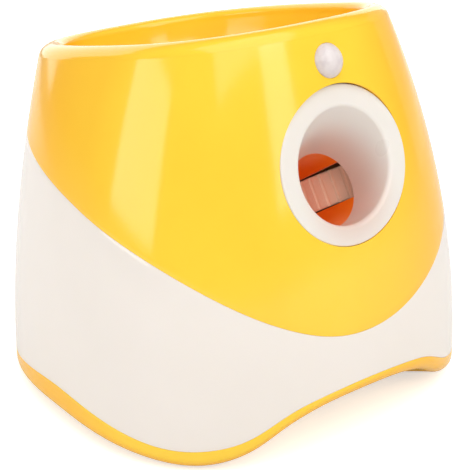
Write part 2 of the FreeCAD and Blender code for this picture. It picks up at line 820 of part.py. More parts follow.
def gear_outline(module, teeth, phase):
    """Wire of a spur gear in the plane of X and Y, with a tooth centred on the phase angle."""
    pitch = module * teeth / 2
    base = pitch * cos(radians(pressure_angle))
    tip = pitch + tooth_height * module
    root = pitch - tooth_root * module
    half_tooth = pi / (2 * teeth) - backlash / (2 * pitch) + involute(radians(pressure_angle))

    def flank_angle(radius):
        return half_tooth - (involute(acos(base / radius)) if radius > base else 0)

    start = max(base, root)
    radii = [start + (tip - start) * k / 4 for k in range(5)]

    def at(radius, angle):
        return Vector(radius * cos(angle), radius * sin(angle), 0)

    edges = []
    for k in range(teeth):
        middle = phase + 2 * pi * k / teeth
        rise = [at(r, middle - flank_angle(r)) for r in radii]
        fall = [at(r, middle + flank_angle(r)) for r in reversed(radii)]
        foot_in = at(root, middle - flank_angle(start))
        foot_out = at(root, middle + flank_angle(start))
        after = at(root, middle + 2 * pi / teeth - flank_angle(start))
        if root < start - 0.001:
            edges.append(Part.LineSegment(foot_in, rise[0]).toShape())
        edges.append(spline(rise))
        edges.append(Part.Arc(rise[-1], at(tip, middle), fall[0]).toShape())
        edges.append(spline(fall))
        if root < start - 0.001:
            edges.append(Part.LineSegment(fall[-1], foot_out).toShape())
        edges.append(Part.Arc(foot_out, at(root, middle + pi / teeth), after).toShape())
    return Part.Wire(edges)


def spline(points):
    curve = Part.BSplineCurve()
    curve.interpolate(points)
    return curve.toShape()


# Turns the drawing plane into the machine's side view: X to +Y, Y to +Z, thickness to +X.
side_view = FreeCAD.Rotation(Vector(1, 1, 1), 120)


def gear(module, teeth, phase_degrees, x0, x1, centre):
    blank = Part.Face(gear_outline(module, teeth, radians(phase_degrees))).extrude(Vector(0, 0, x1 - x0))
    return placed(blank, FreeCAD.Placement(Vector(x0, centre[0], centre[1]), side_view))


def meshing_phase(own_phase, own_teeth, direction, other_teeth):
    """Phase of the other gear, in degrees, so that its gap meets this gear's tooth."""
    share = (direction - own_phase) / (360 / own_teeth) % 1
    return direction + 180 - (0.5 - share) * 360 / other_teeth


def step_from(centre, direction, distance):
    turn = radians(direction)
    return centre[0] + distance * cos(turn), centre[1] + distance * sin(turn)


pinion_pitch = rack_module * rack_pinion_teeth / 2
rack_axis = launch_point(0, rack_pinion_at, rack_line - pinion_pitch - centre_gap / 2)
rack_centre = (rack_axis.y, rack_axis.z)
idler_distance = gear_module * (rack_gear_teeth + idler_pinion_teeth) / 2 + centre_gap
idler_centre = step_from(rack_centre, idler_angle, idler_distance)
feed_distance = gear_module * (idler_gear_teeth + feed_pinion_teeth) / 2 + centre_gap
feed_centre = step_from(idler_centre, 0, feed_distance)

rack_phase = 90 - launch_pitch
idler_pinion_phase = meshing_phase(rack_phase, rack_gear_teeth, idler_angle, idler_pinion_teeth)
idler_gear_phase = 0
feed_pinion_phase = meshing_phase(idler_gear_phase, idler_gear_teeth, 0, feed_pinion_teeth)

guide_side = rack_half_width + slide_gap
layer_two = guide_side + guide_wall + 0.7          # rack gear and idler pinion
layer_one = layer_two + gear_width + gear_step     # idler gear and feed pinion
plate_left = -guide_side - guide_wall
plate_right = layer_one + gear_width + gear_step


def make_rack_gear():
    pinion = gear(rack_module, rack_pinion_teeth, rack_phase, -rack_half_width, rack_half_width, rack_centre)
    wheel = gear(gear_module, rack_gear_teeth, rack_phase, layer_two, layer_two + gear_width, rack_centre)
    sleeve_start = plate_left + slide_gap
    sleeve = rod(4, (sleeve_start, *rack_centre), (1, 0, 0), plate_right - slide_gap - sleeve_start)
    collar = rod(8, (rack_half_width - 1, *rack_centre), (1, 0, 0), layer_two + 2 - rack_half_width)
    return join([pinion, wheel, sleeve, collar]).cut(shaft_bore(rack_centre))


def make_idler_gear():
    pinion = gear(gear_module, idler_pinion_teeth, idler_pinion_phase, layer_two, layer_one, idler_centre)
    wheel = gear(gear_module, idler_gear_teeth, idler_gear_phase, layer_one, layer_one + gear_width, idler_centre)
    sleeve_start = plate_left + slide_gap
    sleeve = rod(4, (sleeve_start, *idler_centre), (1, 0, 0), plate_right - slide_gap - sleeve_start)
    return join([pinion, wheel, sleeve]).cut(shaft_bore(idler_centre))


def shaft_bore(centre):
    return rod(gear_shaft_radius + run_gap, (plate_left, *centre), (1, 0, 0), plate_right - plate_left)


def make_gear_shaft(centre):
    start = plate_left - plate_wall
    return rod(gear_shaft_radius, (start, *centre), (1, 0, 0), plate_right + plate_wall - start)


def make_feed_pinion():
    pinion = gear(gear_module, feed_pinion_teeth, feed_pinion_phase, layer_one, layer_one + gear_width, feed_centre)
    return pinion.cut(rod(feed_shaft_radius, (layer_one, *feed_centre), (1, 0, 0), gear_width))


def make_feed_shaft():
    return rod(feed_shaft_radius, (layer_one, *feed_centre), (1, 0, 0), gear_width + gear_step + plate_wall + 8)


def make_feed_motor():
    face = plate_right + plate_wall
    can = rod(feed_motor_radius, (face, *feed_centre), (1, 0, 0), feed_motor_length)
    rims = [e for e in can.Edges if abs(e.Length - 2 * pi * feed_motor_radius) < 0.1]
    can = can.makeFillet(1.2, rims)
    nose = rod(4, (face - plate_wall, *feed_centre), (1, 0, 0), plate_wall)
    back = rod(4, (face + feed_motor_length, *feed_centre), (1, 0, 0), 2)
    tabs = [box(face + feed_motor_length - 2, face + feed_motor_length + 5, feed_centre[0] + s * 8 - 0.3,
                feed_centre[0] + s * 8 + 0.3, feed_centre[1] - 1.5, feed_centre[1] + 1.5) for s in (1, -1)]
    motor = join([can, nose, back] + tabs)
    bore = rod(feed_shaft_radius + run_gap, (face - plate_wall, *feed_centre), (1, 0, 0), plate_wall + 9)
    screws = [rod(1.0, (face, feed_centre[0], feed_centre[1] + s * feed_screw_z), (1, 0, 0), 4) for s in (1, -1)]
    return motor.cut(group([bore] + screws))


feed_screw_z = 8.0


def make_feed_motor_screws():
    return group([screw((plate_right, feed_centre[0], feed_centre[1] + s * feed_screw_z), (1, 0, 0), 1.0, 1.9, 0.8,
                        plate_wall + 4) for s in (1, -1)])


def plate_outline():
    """Corners of the gear plates in the side view, as (y, z)."""
    floor_top = floor_bottom + floor_wall
    throat = chamber_back + guide_flange + 1
    front_top = launch_point(0, throat, 5.0)
    front_low = launch_point(0, throat, -46.0)
    back_top = launch_point(0, guide_end, 5.0)
    return [(front_low.y, floor_top), (front_low.y, front_low.z), (front_top.y, front_top.z),
            (back_top.y, back_top.z), (back_top.y, floor_top)]


guide_flange = 3.0
guide_end = 184.0


def make_gear_plate(x0, foot_side):
    corners = [Vector(x0, y, z) for y, z in plate_outline()]
    plate = Part.Face(Part.makePolygon(corners + corners[:1])).extrude(Vector(plate_wall, 0, 0))
    floor_top = floor_bottom + floor_wall
    edge = x0 + plate_wall / 2
    feet = [box(min(edge, edge + foot_side * 11), max(edge, edge + foot_side * 11), y - 6, y + 6,
                floor_top, floor_top + plate_wall) for y in plate_foot_rows()]
    plate = join([plate] + feet)
    cuts = [rod(gear_shaft_radius, (x0 - 1, *c), (1, 0, 0), plate_wall + 2) for c in (rack_centre, idler_centre)]
    cuts += [rod(1.5, (edge + foot_side * 6.5, y, 0), (0, 0, 1), 30) for y in plate_foot_rows()]
    cuts += [rod(1.5, (x0 - 1, y, z), (1, 0, 0), plate_wall + 2) for y, z in spacer_places()]
    return plate, cuts


def plate_foot_rows():
    ys = [y for y, z in plate_outline()]
    return [min(ys) + 10, max(ys) - 10]


def make_left_gear_plate():
    plate, cuts = make_gear_plate(plate_left - plate_wall, -1)
    return plate.cut(group(cuts))


def make_right_gear_plate():
    plate, cuts = make_gear_plate(plate_right, 1)
    cuts.append(rod(4, (plate_right - 1, *feed_centre), (1, 0, 0), plate_wall + 2))
    cuts += [rod(1.0, (plate_right - 1, feed_centre[0], feed_centre[1] + s * feed_screw_z), (1, 0, 0),
                 plate_wall + 2) for s in (1, -1)]
    return plate.cut(group(cuts))


def spacer_places():
    low = floor_bottom + floor_wall + 9
    return [(idler_centre[0] - 27, low), (feed_centre[0] + feed_motor_radius - 1, low)]


def make_gearbox_spacers():
    return group([tube(3.5, 1.5, (plate_left, *c), (1, 0, 0), plate_right - plate_left) for c in spacer_places()])


def make_gearbox_screws():
    shapes = []
    for y, z in spacer_places():
        shapes.append(screw((plate_left - plate_wall, y, z), (1, 0, 0), 1.45, 2.8, 1.6, 10))
        shapes.append(screw((plate_right + plate_wall, y, z), (-1, 0, 0), 1.45, 2.8, 1.6, 10))
    return group(shapes)


def make_pusher_guide():
    outer = bore_radius + chamber_wall
    low = rack_line - tooth_height * rack_module - slide_gap
    disc = rod(outer, (0, chamber_back, 0), (0, 1, 0), guide_flange)
    side_x = guide_side + guide_wall
    top = rack_top + slide_gap
    channel = box(-side_x, side_x, chamber_back, guide_end, rack_line + 2.2, top + guide_wall)
    arm = box(guide_side, plate_right, guide_end - 26, guide_end - 14, -2, top + guide_wall)
    body = join([disc, channel, arm])
    body = body.cut(box(-guide_side, guide_side, chamber_back - 1, guide_end + 1, low, top))
    return on_launch(body)


def make_pusher_head():
    face = ball_rest + ball_radius + 1.1
    head = rod(pusher_head_radius, (0, face, 0), (0, 1, 0), pusher_head_wall)
    rims = [e for e in head.Edges if abs(e.Length - 2 * pi * pusher_head_radius) < 0.1]
    head = head.makeFillet(1.5, rims)
    dish = Part.makeSphere(60, Vector(0, face - 60 + 2.2, 0))
    return on_launch(head.cut(dish))


def make_pusher_rack():
    start = ball_rest + ball_radius + 1.1 + pusher_head_wall
    end = start + rack_length
    pitch = pi * rack_module
    root = rack_line + tooth_root * rack_module
    tip = rack_line - tooth_height * rack_module
    bar = box(-rack_half_width, rack_half_width, start, end, root, rack_top)
    slope = tan(radians(pressure_angle))
    at_pitch = pitch / 2 - backlash
    root_half = (at_pitch + 2 * tooth_root * rack_module * slope) / 2
    tip_half = (at_pitch - 2 * tooth_height * rack_module * slope) / 2
    first = rack_pinion_at - pitch / 2
    teeth = []
    for k in range(-1, int((end - first) / pitch)):
        y = first + k * pitch
        corners = [Vector(-rack_half_width, y - root_half, root), Vector(-rack_half_width, y - tip_half, tip),
                   Vector(-rack_half_width, y + tip_half, tip), Vector(-rack_half_width, y + root_half, root)]
        tooth = Part.Face(Part.makePolygon(corners + corners[:1])).extrude(Vector(2 * rack_half_width, 0, 0))
        teeth.append(tooth)
    return on_launch(join([bar] + teeth))


# ---------------------------------------------------------------- batteries
def bay_bounds():
    half_x = (cell_pitch + 2 * cell_radius) / 2 + bay_gap
    half_y = 3 * cell_length / 2 + bay_gap
    return bay_x - half_x, bay_x + half_x, bay_y - half_y, bay_y + half_y


cell_z = floor_bottom + floor_wall + 0.4 + cell_radius


def make_battery_box():
    x0, x1, y0, y1 = bay_bounds()
    low = floor_bottom + floor_wall
    high = cell_z + cell_radius + 0.6
    cup = box(x0 - bay_wall, x1 + bay_wall, y0 - bay_wall, y1 + bay_wall, low, high + bay_wall)
    brim = box(x0 - 3, x1 + 3, y0 - 3, y1 + 3, low, low + 1.6)
    return join([cup, brim]).cut(box(x0, x1, y0, y1, low, high))


def make_battery_cells():
    cells = []
    for side in (-1, 1):
        for k in range(3):
            start = bay_y + (k - 1.5) * cell_length + 0.2
            x = bay_x + side * cell_pitch / 2
            can = rod(cell_radius, (x, start, cell_z), (0, 1, 0), cell_length - cell_nub - 0.4)
            nub = rod(3.2, (x, start, cell_z), (0, 1, 0), cell_length - 0.4)
            cells.append(can.fuse(nub).removeSplitter())
    return group(cells)


def make_battery_contacts():
    x0, x1, y0, y1 = bay_bounds()
    plates = []
    for y in (y0 + 0.1, y1 - 0.6):
        for side in (-1, 1):
            x = bay_x + side * cell_pitch / 2
            plates.append(box(x - 9, x + 9, y, y + 0.5, cell_z - 9, cell_z + 9))
    return group(plates)


def hinge_x():
    return bay_bounds()[1] - 1.7


def hinge_z():
    return floor_bottom + 0.2 + door_wall / 2


def make_battery_door():
    x0, x1, y0, y1 = bay_bounds()
    low = floor_bottom + 0.2
    y0, y1 = y0 + 0.4, y1 - 0.4
    plate = box(x0 + 0.4, hinge_x(), y0, y1, low, low + door_wall)
    barrel = rod(door_wall / 2, (hinge_x(), y0, hinge_z()), (0, 1, 0), y1 - y0)
    pins = rod(hinge_radius, (hinge_x(), y0 - 2.2, hinge_z()), (0, 1, 0), y1 - y0 + 4.4)
    latch = box(x0 + 0.7, x0 + 1.9, bay_y - 8, bay_y + 8, low, low + 7)
    door = join([plate, barrel, pins, latch])
    scoop = Part.makeSphere(9, Vector(x0 + 5, bay_y, low - 8))
    ribs = [box(x0 + 12 + 4 * k, x0 + 13.4 + 4 * k, bay_y - 10, bay_y + 10, low - 1, low + 0.5) for k in range(4)]
    return door.cut(group([scoop] + ribs))


# ---------------------------------------------------------------- boards and speaker
def board_post_places():
    return [(x, y) for x in (board_x[0] + 5, board_x[1] - 5) for y in (board_y[0] + 5, board_y[1] - 5)]


board_z = floor_bottom + floor_wall + board_lift


def make_main_board():
    board = box(board_x[0], board_x[1], board_y[0], board_y[1], board_z, board_z + board_wall)
    return board.cut(group([rod(1.6, (x, y, board_z - 1), (0, 0, 1), 5) for x, y in board_post_places()]))


def make_board_screws():
    return group([screw((x, y, board_z + board_wall), (0, 0, -1), 1.2, 2.4, 1.4, 7) for x, y in board_post_places()])


def make_board_components():
    top = board_z + board_wall
    x, y = board_x[0], board_y[0]
    pieces = [rod(5, (x + 16, y + 22, top), (0, 0, 1), 14), rod(5, (x + 16, y + 36, top), (0, 0, 1), 14)]
    pieces += [box(x + 28, x + 43, y + 14 + 18 * k, y + 28 + 18 * k, top, top + 12) for k in range(2)]
    pieces.append(box(x + 24, x + 40, y + 54, y + 66, top, top + 2.4))
    pieces += [box(x + 54, x + 61, y + 14 + 14 * k, y + 24 + 14 * k, top, top + 8) for k in range(4)]
    pieces.append(box(x + 10, x + 12, y + 50, y + 68, top, top + 18))
    return group(pieces)


def make_speaker_basket():
    low = floor_bottom + floor_wall
    ringed = tube(speaker_radius, speaker_radius - 3, (speaker_x, speaker_y, low), (0, 0, 1), 3.5)
    cup = rod(speaker_radius - 2, (speaker_x, speaker_y, low + 3.5), (0, 0, 1), 1.6)
    magnet = rod(9, (speaker_x, speaker_y, low + 5.1), (0, 0, 1), 5)
    return join([ringed, cup, magnet])


def make_speaker_cone():
    low = floor_bottom + floor_wall
    flat = Part.makeCone(speaker_radius - 3.2, 6, 2.4, Vector(speaker_x, speaker_y, low + 0.8))
    return flat.cut(Part.makeCone(speaker_radius - 4.4, 5, 1.9, Vector(speaker_x, speaker_y, low + 0.8)))


def grille_places():
    places = [(speaker_x, speaker_y)]
    for count, reach in ((6, 6), (12, 12)):
        for k in range(count):
            turn = 2 * pi * k / count
            places.append((speaker_x + reach * cos(turn), speaker_y + reach * sin(turn)))
    return places


# ---------------------------------------------------------------- rear panel
def rounded_block(half_x, half_z, y0, y1, z, corner):
    block = box(-half_x, half_x, y0, y1, z - half_z, z + half_z)
    edges = [e for e in block.Edges if abs(e.tangentAt(e.FirstParameter).y) > 0.99]
    return block.makeFillet(corner, edges)


def panel_opening():
    return rounded_block(panel_half_width + fit_gap, panel_half_height + fit_gap, panel_face - 12, panel_face + 20,
                         panel_z, 10 + fit_gap)


panel_back = panel_face - panel_wall
flange_back = panel_back - panel_flange_wall
control_board_y = flange_back - 8.3


def panel_post_places():
    return [(sx * (panel_half_width - 6), panel_z + sz * (panel_half_height - 4)) for sx in (1, -1) for sz in (1, -1)]


def light_places():
    places = [(-button_x, panel_z + light_rise)]
    return places + [(button_x + step, panel_z + light_rise) for step in (-8, 0, 8)]


def make_control_panel():
    plate = rounded_block(panel_half_width, panel_half_height, panel_back, panel_face, panel_z, 10)
    rims = [e for e in plate.Edges if abs(e.CenterOfMass.y - panel_face) < 0.01]
    plate = plate.makeFillet(1.2, rims)
    flange = rounded_block(panel_half_width + panel_flange, panel_half_height + panel_flange,
                           flange_back, panel_back, panel_z, 12)
    posts = [rod(2.8, (x, control_board_y + board_wall, z), (0, 1, 0), flange_back - control_board_y - board_wall)
             for x, z in panel_post_places()]
    panel = join([plate, flange] + posts)
    cuts = [rod(button_radius + button_gap, (s * button_x, flange_back - 1, panel_z), (0, 1, 0), 20) for s in (1, -1)]
    cuts += [rod(light_radius, (x, flange_back - 1, z), (0, 1, 0), 20) for x, z in light_places()]
    cuts += [rod(0.9, (x, control_board_y, z), (0, 1, 0), 7) for x, z in panel_post_places()]
    return panel.cut(group(cuts))


def make_button(side):
    face = panel_face + button_proud
    stem = rod(button_radius, (side * button_x, flange_back - 0.3, panel_z), (0, 1, 0), face - flange_back + 0.3)
    rims = [e for e in stem.Edges if abs(e.CenterOfMass.y - face) < 0.01 and e.Length > 20]
    stem = stem.makeFillet(1.2, rims)
    collar = rod(button_radius + 1.4, (side * button_x, flange_back - 1.9, panel_z), (0, 1, 0), 1.6)
    return join([stem, collar])


def make_indicator_lights():
    start = control_board_y + board_wall
    return group([rod(light_radius, (x, start, z), (0, 1, 0), panel_face + 0.4 - start) for x, z in light_places()])


def make_control_board():
    board = box(-panel_half_width + 1, panel_half_width - 1, control_board_y, control_board_y + board_wall,
                panel_z - panel_half_height + 1, panel_z + panel_half_height - 1)
    return board.cut(group([rod(1.2, (x, control_board_y - 1, z), (0, 1, 0), 5) for x, z in panel_post_places()]))


def make_control_board_screws():
    return group([screw((x, control_board_y, z), (0, 1, 0), 0.9, 1.9, 1.2, 6) for x, z in panel_post_places()])


def make_tact_switches():
    start = control_board_y + board_wall
    switches = []
    for side in (1, -1):
        x = side * button_x
        body = box(x - 3, x + 3, start, start + switch_height - 1.2, panel_z - 3, panel_z + 3)
        plunger_end = flange_back - 1.9 - button_travel - 0.3
        switches.append(body.fuse(rod(1.7, (x, start, panel_z), (0, 1, 0), plunger_end - start)).removeSplitter())
    return group(switches)


def make_dc_jack():
    face = back_at(jack_z) + 1.25
    barrel = rod(jack_radius, (0, face - 10, jack_z), (0, 1, 0), 10)
    washer = rod(jack_radius + 1.8, (0, face - 1.2, jack_z), (0, 1, 0), 1.2)
    body = box(-5.5, 5.5, face - 20, face - wall - 1.4, jack_z - 5.5, jack_z + 5.5)
    jack = join([barrel, washer, body])
    jack = jack.cut(rod(3.2, (0, face - 10.5, jack_z), (0, 1, 0), 12))
    return jack.fuse(rod(1.05, (0, face - 12, jack_z), (0, 1, 0), 10.5)).removeSplitter()


# ---------------------------------------------------------------- fasteners
def make_base_screws():
    seat = floor_bottom + 1.2
    return group([screw((x, y, seat), (0, 0, 1), screw_radius - 0.2, screw_head, 2.2, 16)
                  for x, y in base_boss_places() + frame_leg_places()])


def make_shell_screws():
    screws = []
    for angle in shell_boss_angles():
        x, y = boss_place(angle)
        seat = seam_height(angle) - ear_drop - ear_height
        screws.append(screw((x, y, seat), (0, 0, 1), screw_radius - 0.2, screw_head, 2.2, 14))
    return group(screws)


def make_nozzle_screws():
    seat = chamber_front - flange_wall
    return on_launch(group([screw((x, seat, z), (0, 1, 0), screw_radius - 0.2, 2.9, 1.8, flange_wall * 2)
                            for x, z in flange_screw_places()]))


def make_chamber_screws():
    return on_launch(group([screw((x, y, -ear_wall), (0, 0, 1), screw_radius, 3.0, 1.8, 2 * ear_wall)
                            for x, y in ear_places()]))


def make_gearbox_foot_screws():
    height = floor_bottom + floor_wall + plate_wall
    left = plate_left - plate_wall / 2 - 6.5
    right = plate_right + plate_wall / 2 + 6.5
    return group([screw((x, y, height), (0, 0, -1), 1.5, 2.8, 1.6, plate_wall)
                  for x in (left, right) for y in plate_foot_rows()])


# ---------------------------------------------------------------- write every node
flywheel_hub = make_flywheel_hub()
flywheel_tyre = make_flywheel_tyre()
flywheel_shaft = make_motor_shaft()
flywheel_motor = make_flywheel_motor()

nodes = {
    "upper_shell": make_upper_shell(),
    "lower_shell": make_lower_shell(),
    "hopper_bowl": make_hopper_bowl(),
    "base_pan": make_base_pan(),
    "rubber_feet": make_rubber_feet(),
    "launch_nozzle": make_launch_nozzle(),
    "pir_lens": make_pir_lens(),
    "pir_holder": make_pir_holder(),
    "pir_sensor": make_pir_sensor(),
    "pir_board": make_pir_board(),
    "chamber_top": make_chamber_top(),
    "chamber_bottom": make_chamber_bottom(),
    "ball_sensors": make_ball_sensors(),
    "feed_chute": make_feed_chute(),
    "right_flywheel_hub": flywheel_hub,
    "left_flywheel_hub": mirrored(flywheel_hub),
    "right_flywheel_tyre": flywheel_tyre,
    "left_flywheel_tyre": mirrored(flywheel_tyre),
    "right_motor_shaft": flywheel_shaft,
    "left_motor_shaft": mirrored(flywheel_shaft),
    "right_flywheel_motor": flywheel_motor,
    "left_flywheel_motor": mirrored(flywheel_motor),
    "motor_frame": make_motor_frame(),
    "motor_screws": make_motor_screws(),
    "pusher_head": make_pusher_head(),
    "pusher_rack": make_pusher_rack(),
    "pusher_guide": make_pusher_guide(),
    "rack_gear": make_rack_gear(),
    "idler_gear": make_idler_gear(),
    "rack_gear_shaft": make_gear_shaft(rack_centre),
    "idler_gear_shaft": make_gear_shaft(idler_centre),
    "feed_pinion": make_feed_pinion(),
    "feed_motor_shaft": make_feed_shaft(),
    "feed_motor": make_feed_motor(),
    "feed_motor_screws": make_feed_motor_screws(),
    "left_gear_plate": make_left_gear_plate(),
    "right_gear_plate": make_right_gear_plate(),
    "gearbox_spacers": make_gearbox_spacers(),
    "gearbox_screws": make_gearbox_screws(),
    "gearbox_foot_screws": make_gearbox_foot_screws(),
    "battery_box": make_battery_box(),
    "battery_cells": make_battery_cells(),
    "battery_contacts": make_battery_contacts(),
    "battery_door": make_battery_door(),
    "main_board": make_main_board(),
    "board_components": make_board_components(),
    "board_screws": make_board_screws(),
    "speaker_basket": make_speaker_basket(),
    "speaker_cone": make_speaker_cone(),
    "control_panel": make_control_panel(),
    "power_button": make_button(-1),
    "distance_button": make_button(1),
    "indicator_lights": make_indicator_lights(),
    "control_board": make_control_board(),
    "control_board_screws": make_control_board_screws(),
    "tact_switches": make_tact_switches(),
    "dc_jack": make_dc_jack(),
    "case_screws": group([make_base_screws(), make_shell_screws()]),
    "chamber_screws": group([make_nozzle_screws(), make_chamber_screws()]),
}

for name, shape in nodes.items():
    write(name, shape)
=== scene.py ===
"""Looks of a hopper-fed ball launcher: moulded shells, launch ring, motion sensor, drive and stage."""
import json
import logging
import math
from collections.abc import Callable, Sequence
from dataclasses import dataclass, field
from enum import Enum

import bmesh
import bpy
import numpy as np
from mathutils import Matrix, Vector


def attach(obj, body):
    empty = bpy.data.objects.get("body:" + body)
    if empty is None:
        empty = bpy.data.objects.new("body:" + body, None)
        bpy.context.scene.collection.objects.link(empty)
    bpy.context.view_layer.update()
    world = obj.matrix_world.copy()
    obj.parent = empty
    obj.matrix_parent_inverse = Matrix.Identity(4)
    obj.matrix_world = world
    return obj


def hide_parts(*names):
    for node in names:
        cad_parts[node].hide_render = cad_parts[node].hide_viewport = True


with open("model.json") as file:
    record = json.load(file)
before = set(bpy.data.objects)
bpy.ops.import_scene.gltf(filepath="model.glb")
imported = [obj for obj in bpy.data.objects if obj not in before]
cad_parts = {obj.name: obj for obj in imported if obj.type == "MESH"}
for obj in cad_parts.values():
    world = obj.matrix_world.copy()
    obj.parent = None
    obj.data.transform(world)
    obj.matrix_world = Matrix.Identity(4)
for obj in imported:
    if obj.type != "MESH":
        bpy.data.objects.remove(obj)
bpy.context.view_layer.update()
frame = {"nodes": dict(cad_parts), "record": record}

MM = 0.001
TAU = 2 * math.pi
LOG = logging.getLogger("ball_launcher")

Array = np.ndarray
Row = np.ndarray
Colour = tuple[float, float, float]
HeightRule = Callable[[Array, Array], Array]
Piece = bpy.types.Object
Tree = bpy.types.NodeTree
Node = bpy.types.Node
Socket = bpy.types.NodeSocket

WALL_COLUMNS = 360
CURVE_SAMPLES = 1500
RIM_ROUNDS = 8
SHARP_ANGLE = math.radians(35.0)
MERGE = 1e-6


class Body(Enum):
    """Rigid bodies that new pieces ride on."""

    HOUSING = "body"
    POWER_BUTTON = "power_button"
    DISTANCE_BUTTON = "distance_button"


class Slot(Enum):
    """Material slots of the record."""

    YELLOW = "yellow_abs"
    WHITE = "white_abs"
    RING = "ring_white"
    ORANGE = "orange_abs"
    LENS = "lens_milky"
    BLACK = "black_plastic"
    GREY = "grey_plastic"
    NYLON = "nylon_white"
    TYRE = "beige_rubber"
    FOOT = "dark_rubber"
    STEEL = "steel"
    ZINC = "zinc_steel"
    BOARD = "board_green"
    CONE = "paper_cone"
    LIGHT = "light_guide"
    CELL = "cell_wrap"
    BRASS = "brass_pinion"
    BUTTON = "button_grey"


# ------------------------------------------------------------------ curves and the body's rule (all in mm)
@dataclass(frozen=True)
class HeightCurve:
    """Smooth height over the angle from the front, the same on both sides."""

    pairs: tuple[tuple[float, float], ...]

    def table(self) -> tuple[Array, Array]:
        """Samples the curve densely.

        Returns:
            Angles in degrees and heights in millimetres.
        """
        points = np.array(self.pairs, float)
        knots = np.concatenate([[0.0], np.cumsum(np.linalg.norm(np.diff(points, axis=0), axis=1))])
        fine = np.linspace(0.0, knots[-1], CURVE_SAMPLES)
        drawn = spline_through(knots, points, fine, clamp=np.array([1.0, 0.0]))
        return drawn[:, 0], drawn[:, 1]

    def at(self, turn: Array, rise: float = 0.0) -> Array:
        """Height at each angle.

        Args:
            turn: Angles from the front in radians.
            rise: Height added everywhere, in millimetres.

        Returns:
            Heights in millimetres.
        """
        angles, heights = self.table()
        folded = np.abs(np.degrees(np.arctan2(np.sin(turn), np.cos(turn))))
        return np.interp(folded, angles, heights) + rise


def spline_through(knots: Array, points: Array, fine: Array,
                   clamp: Array | None = None) -> Array:
    """Cubic spline through points, natural or with the same given end slope at both ends.

    Args:
        knots: Parameter of each point, rising.
        points: Points, one per knot, of any trailing shape.
        fine: Parameters to sample.
        clamp: Slope at both ends, or None for a natural spline.

    Returns:
        The sampled points.
    """
    count = len(knots)
    flat = points.reshape(count, -1)
    step = np.diff(knots)
    slope = np.diff(flat, axis=0) / step[:, None]
    matrix = np.zeros((count, count))
    right = np.zeros_like(flat)
    for i in range(1, count - 1):
        matrix[i, i - 1:i + 2] = step[i - 1], 2 * (step[i - 1] + step[i]), step[i]
        right[i] = 6 * (slope[i] - slope[i - 1])
    if clamp is None:
        matrix[0, 0] = matrix[-1, -1] = 1.0
    else:
        matrix[0, :2] = 2 * step[0], step[0]
        right[0] = 6 * (slope[0] - clamp)
        matrix[-1, -2:] = step[-1], 2 * step[-1]
        right[-1] = 6 * (clamp - slope[-1])
    bend = np.linalg.solve(matrix, right)
    span = np.clip(np.searchsorted(knots, fine, side="right") - 1, 0, count - 2)
    h = step[span][:, None]
    a = (knots[span + 1] - fine)[:, None] / h
    b = 1 - a
    drawn = (a * flat[span] + b * flat[span + 1]
             + ((a ** 3 - a) * bend[span] + (b ** 3 - b) * bend[span + 1]) * h * h / 6)
    return drawn.reshape((len(fine), *points.shape[1:]))


@dataclass(frozen=True)
class BodyRule:
    """Rounded-square section that tapers upwards: the outline that all shells share (mm)."""

    half_width: float = 160.3
    front: float = 149.5
    back: float = 156.0
    crown: float = 649.0
    flare: float = 0.012
    power: float = 2.52
    middle_y: float = 5.4
    rim_height: float = 264.7
    rim_slope: float = 0.2166
    colour_seam: HeightCurve = HeightCurve(((0, 82), (24, 97.4), (47, 128.3), (67, 149.6), (94, 164.5),
                                            (120, 177), (150, 188), (180, 192)))
    base_seam: HeightCurve = HeightCurve(((0, 47), (22, 41), (38, 21.5), (52, 16.7), (66, 21.5), (90, 29.3),
                                          (114, 21.5), (130, 16.7), (150, 20), (180, 24)))
    base_edge: HeightCurve = HeightCurve(((0, 36.6), (14, 34.5), (24, 27), (34, 12), (47, 2.5), (60, 3.6),
                                          (80, 7.5), (100, 7.5), (120, 3.6), (133, 2.5), (152, 4.5),
                                          (180, 6.5)))

    def radius(self, turn: Array, z: Array, inset: Array) -> Array:
        """Distance from the drop axis to the wall.

        Args:
            turn: Angles from the front in radians.
            z: Heights in millimetres.
            inset: Depths below the outer surface in millimetres.

        Returns:
            Distances in millimetres.
        """
        sag = z * z / (2 * self.crown)
        reach = np.where(np.cos(turn) > 0, self.front - sag, self.back + self.flare * z) - inset
        across = (np.abs(np.sin(turn)) / (self.half_width - sag - inset)) ** self.power
        along = (np.abs(np.cos(turn)) / reach) ** self.power
        return (across + along) ** (-1 / self.power)

    def point(self, turn: Array, z: Array, inset: Array) -> Row:
        """Points of the wall in the written frame, in millimetres, from the same values as radius."""
        far = self.radius(turn, z, inset)
        return np.stack([far * np.sin(turn), -far * np.cos(turn) - self.middle_y, z + 0 * far], axis=-1)

    def rim(self, turn: Array, inset: Array, drop: float = 0.0) -> Array:
        """Height of the leaning rim plane where it meets the wall.

        Args:
            turn: Angles from the front in radians.
            inset: Depths below the outer surface in millimetres.
            drop: Distance below the rim plane in millimetres.

        Returns:
            Heights in millimetres.
        """
        z = np.full_like(turn, self.rim_height)
        for _ in range(RIM_ROUNDS):
            z = self.rim_height + self.rim_slope * self.radius(turn, z, inset) * np.cos(turn)
        return z - drop


RULE = BodyRule()


@dataclass(frozen=True)
class Lean:
    """Frame whose own -Y looks outwards and up by a tilt, about a point of the middle plane."""

    y: float
    z: float
    tilt: float

    def place(self, points: Array) -> Array:
        """Turns points given in this frame into the written frame.

        Args:
            points: Points in millimetres, last axis x, y, z.

        Returns:
            Points in millimetres in the written frame.
        """
        c, s = math.cos(math.radians(self.tilt)), math.sin(math.radians(self.tilt))
        x, y, z = points[..., 0], points[..., 1], points[..., 2]
        return np.stack([x, self.y - RULE.middle_y + c * y + s * z, self.z - s * y + c * z], axis=-1)


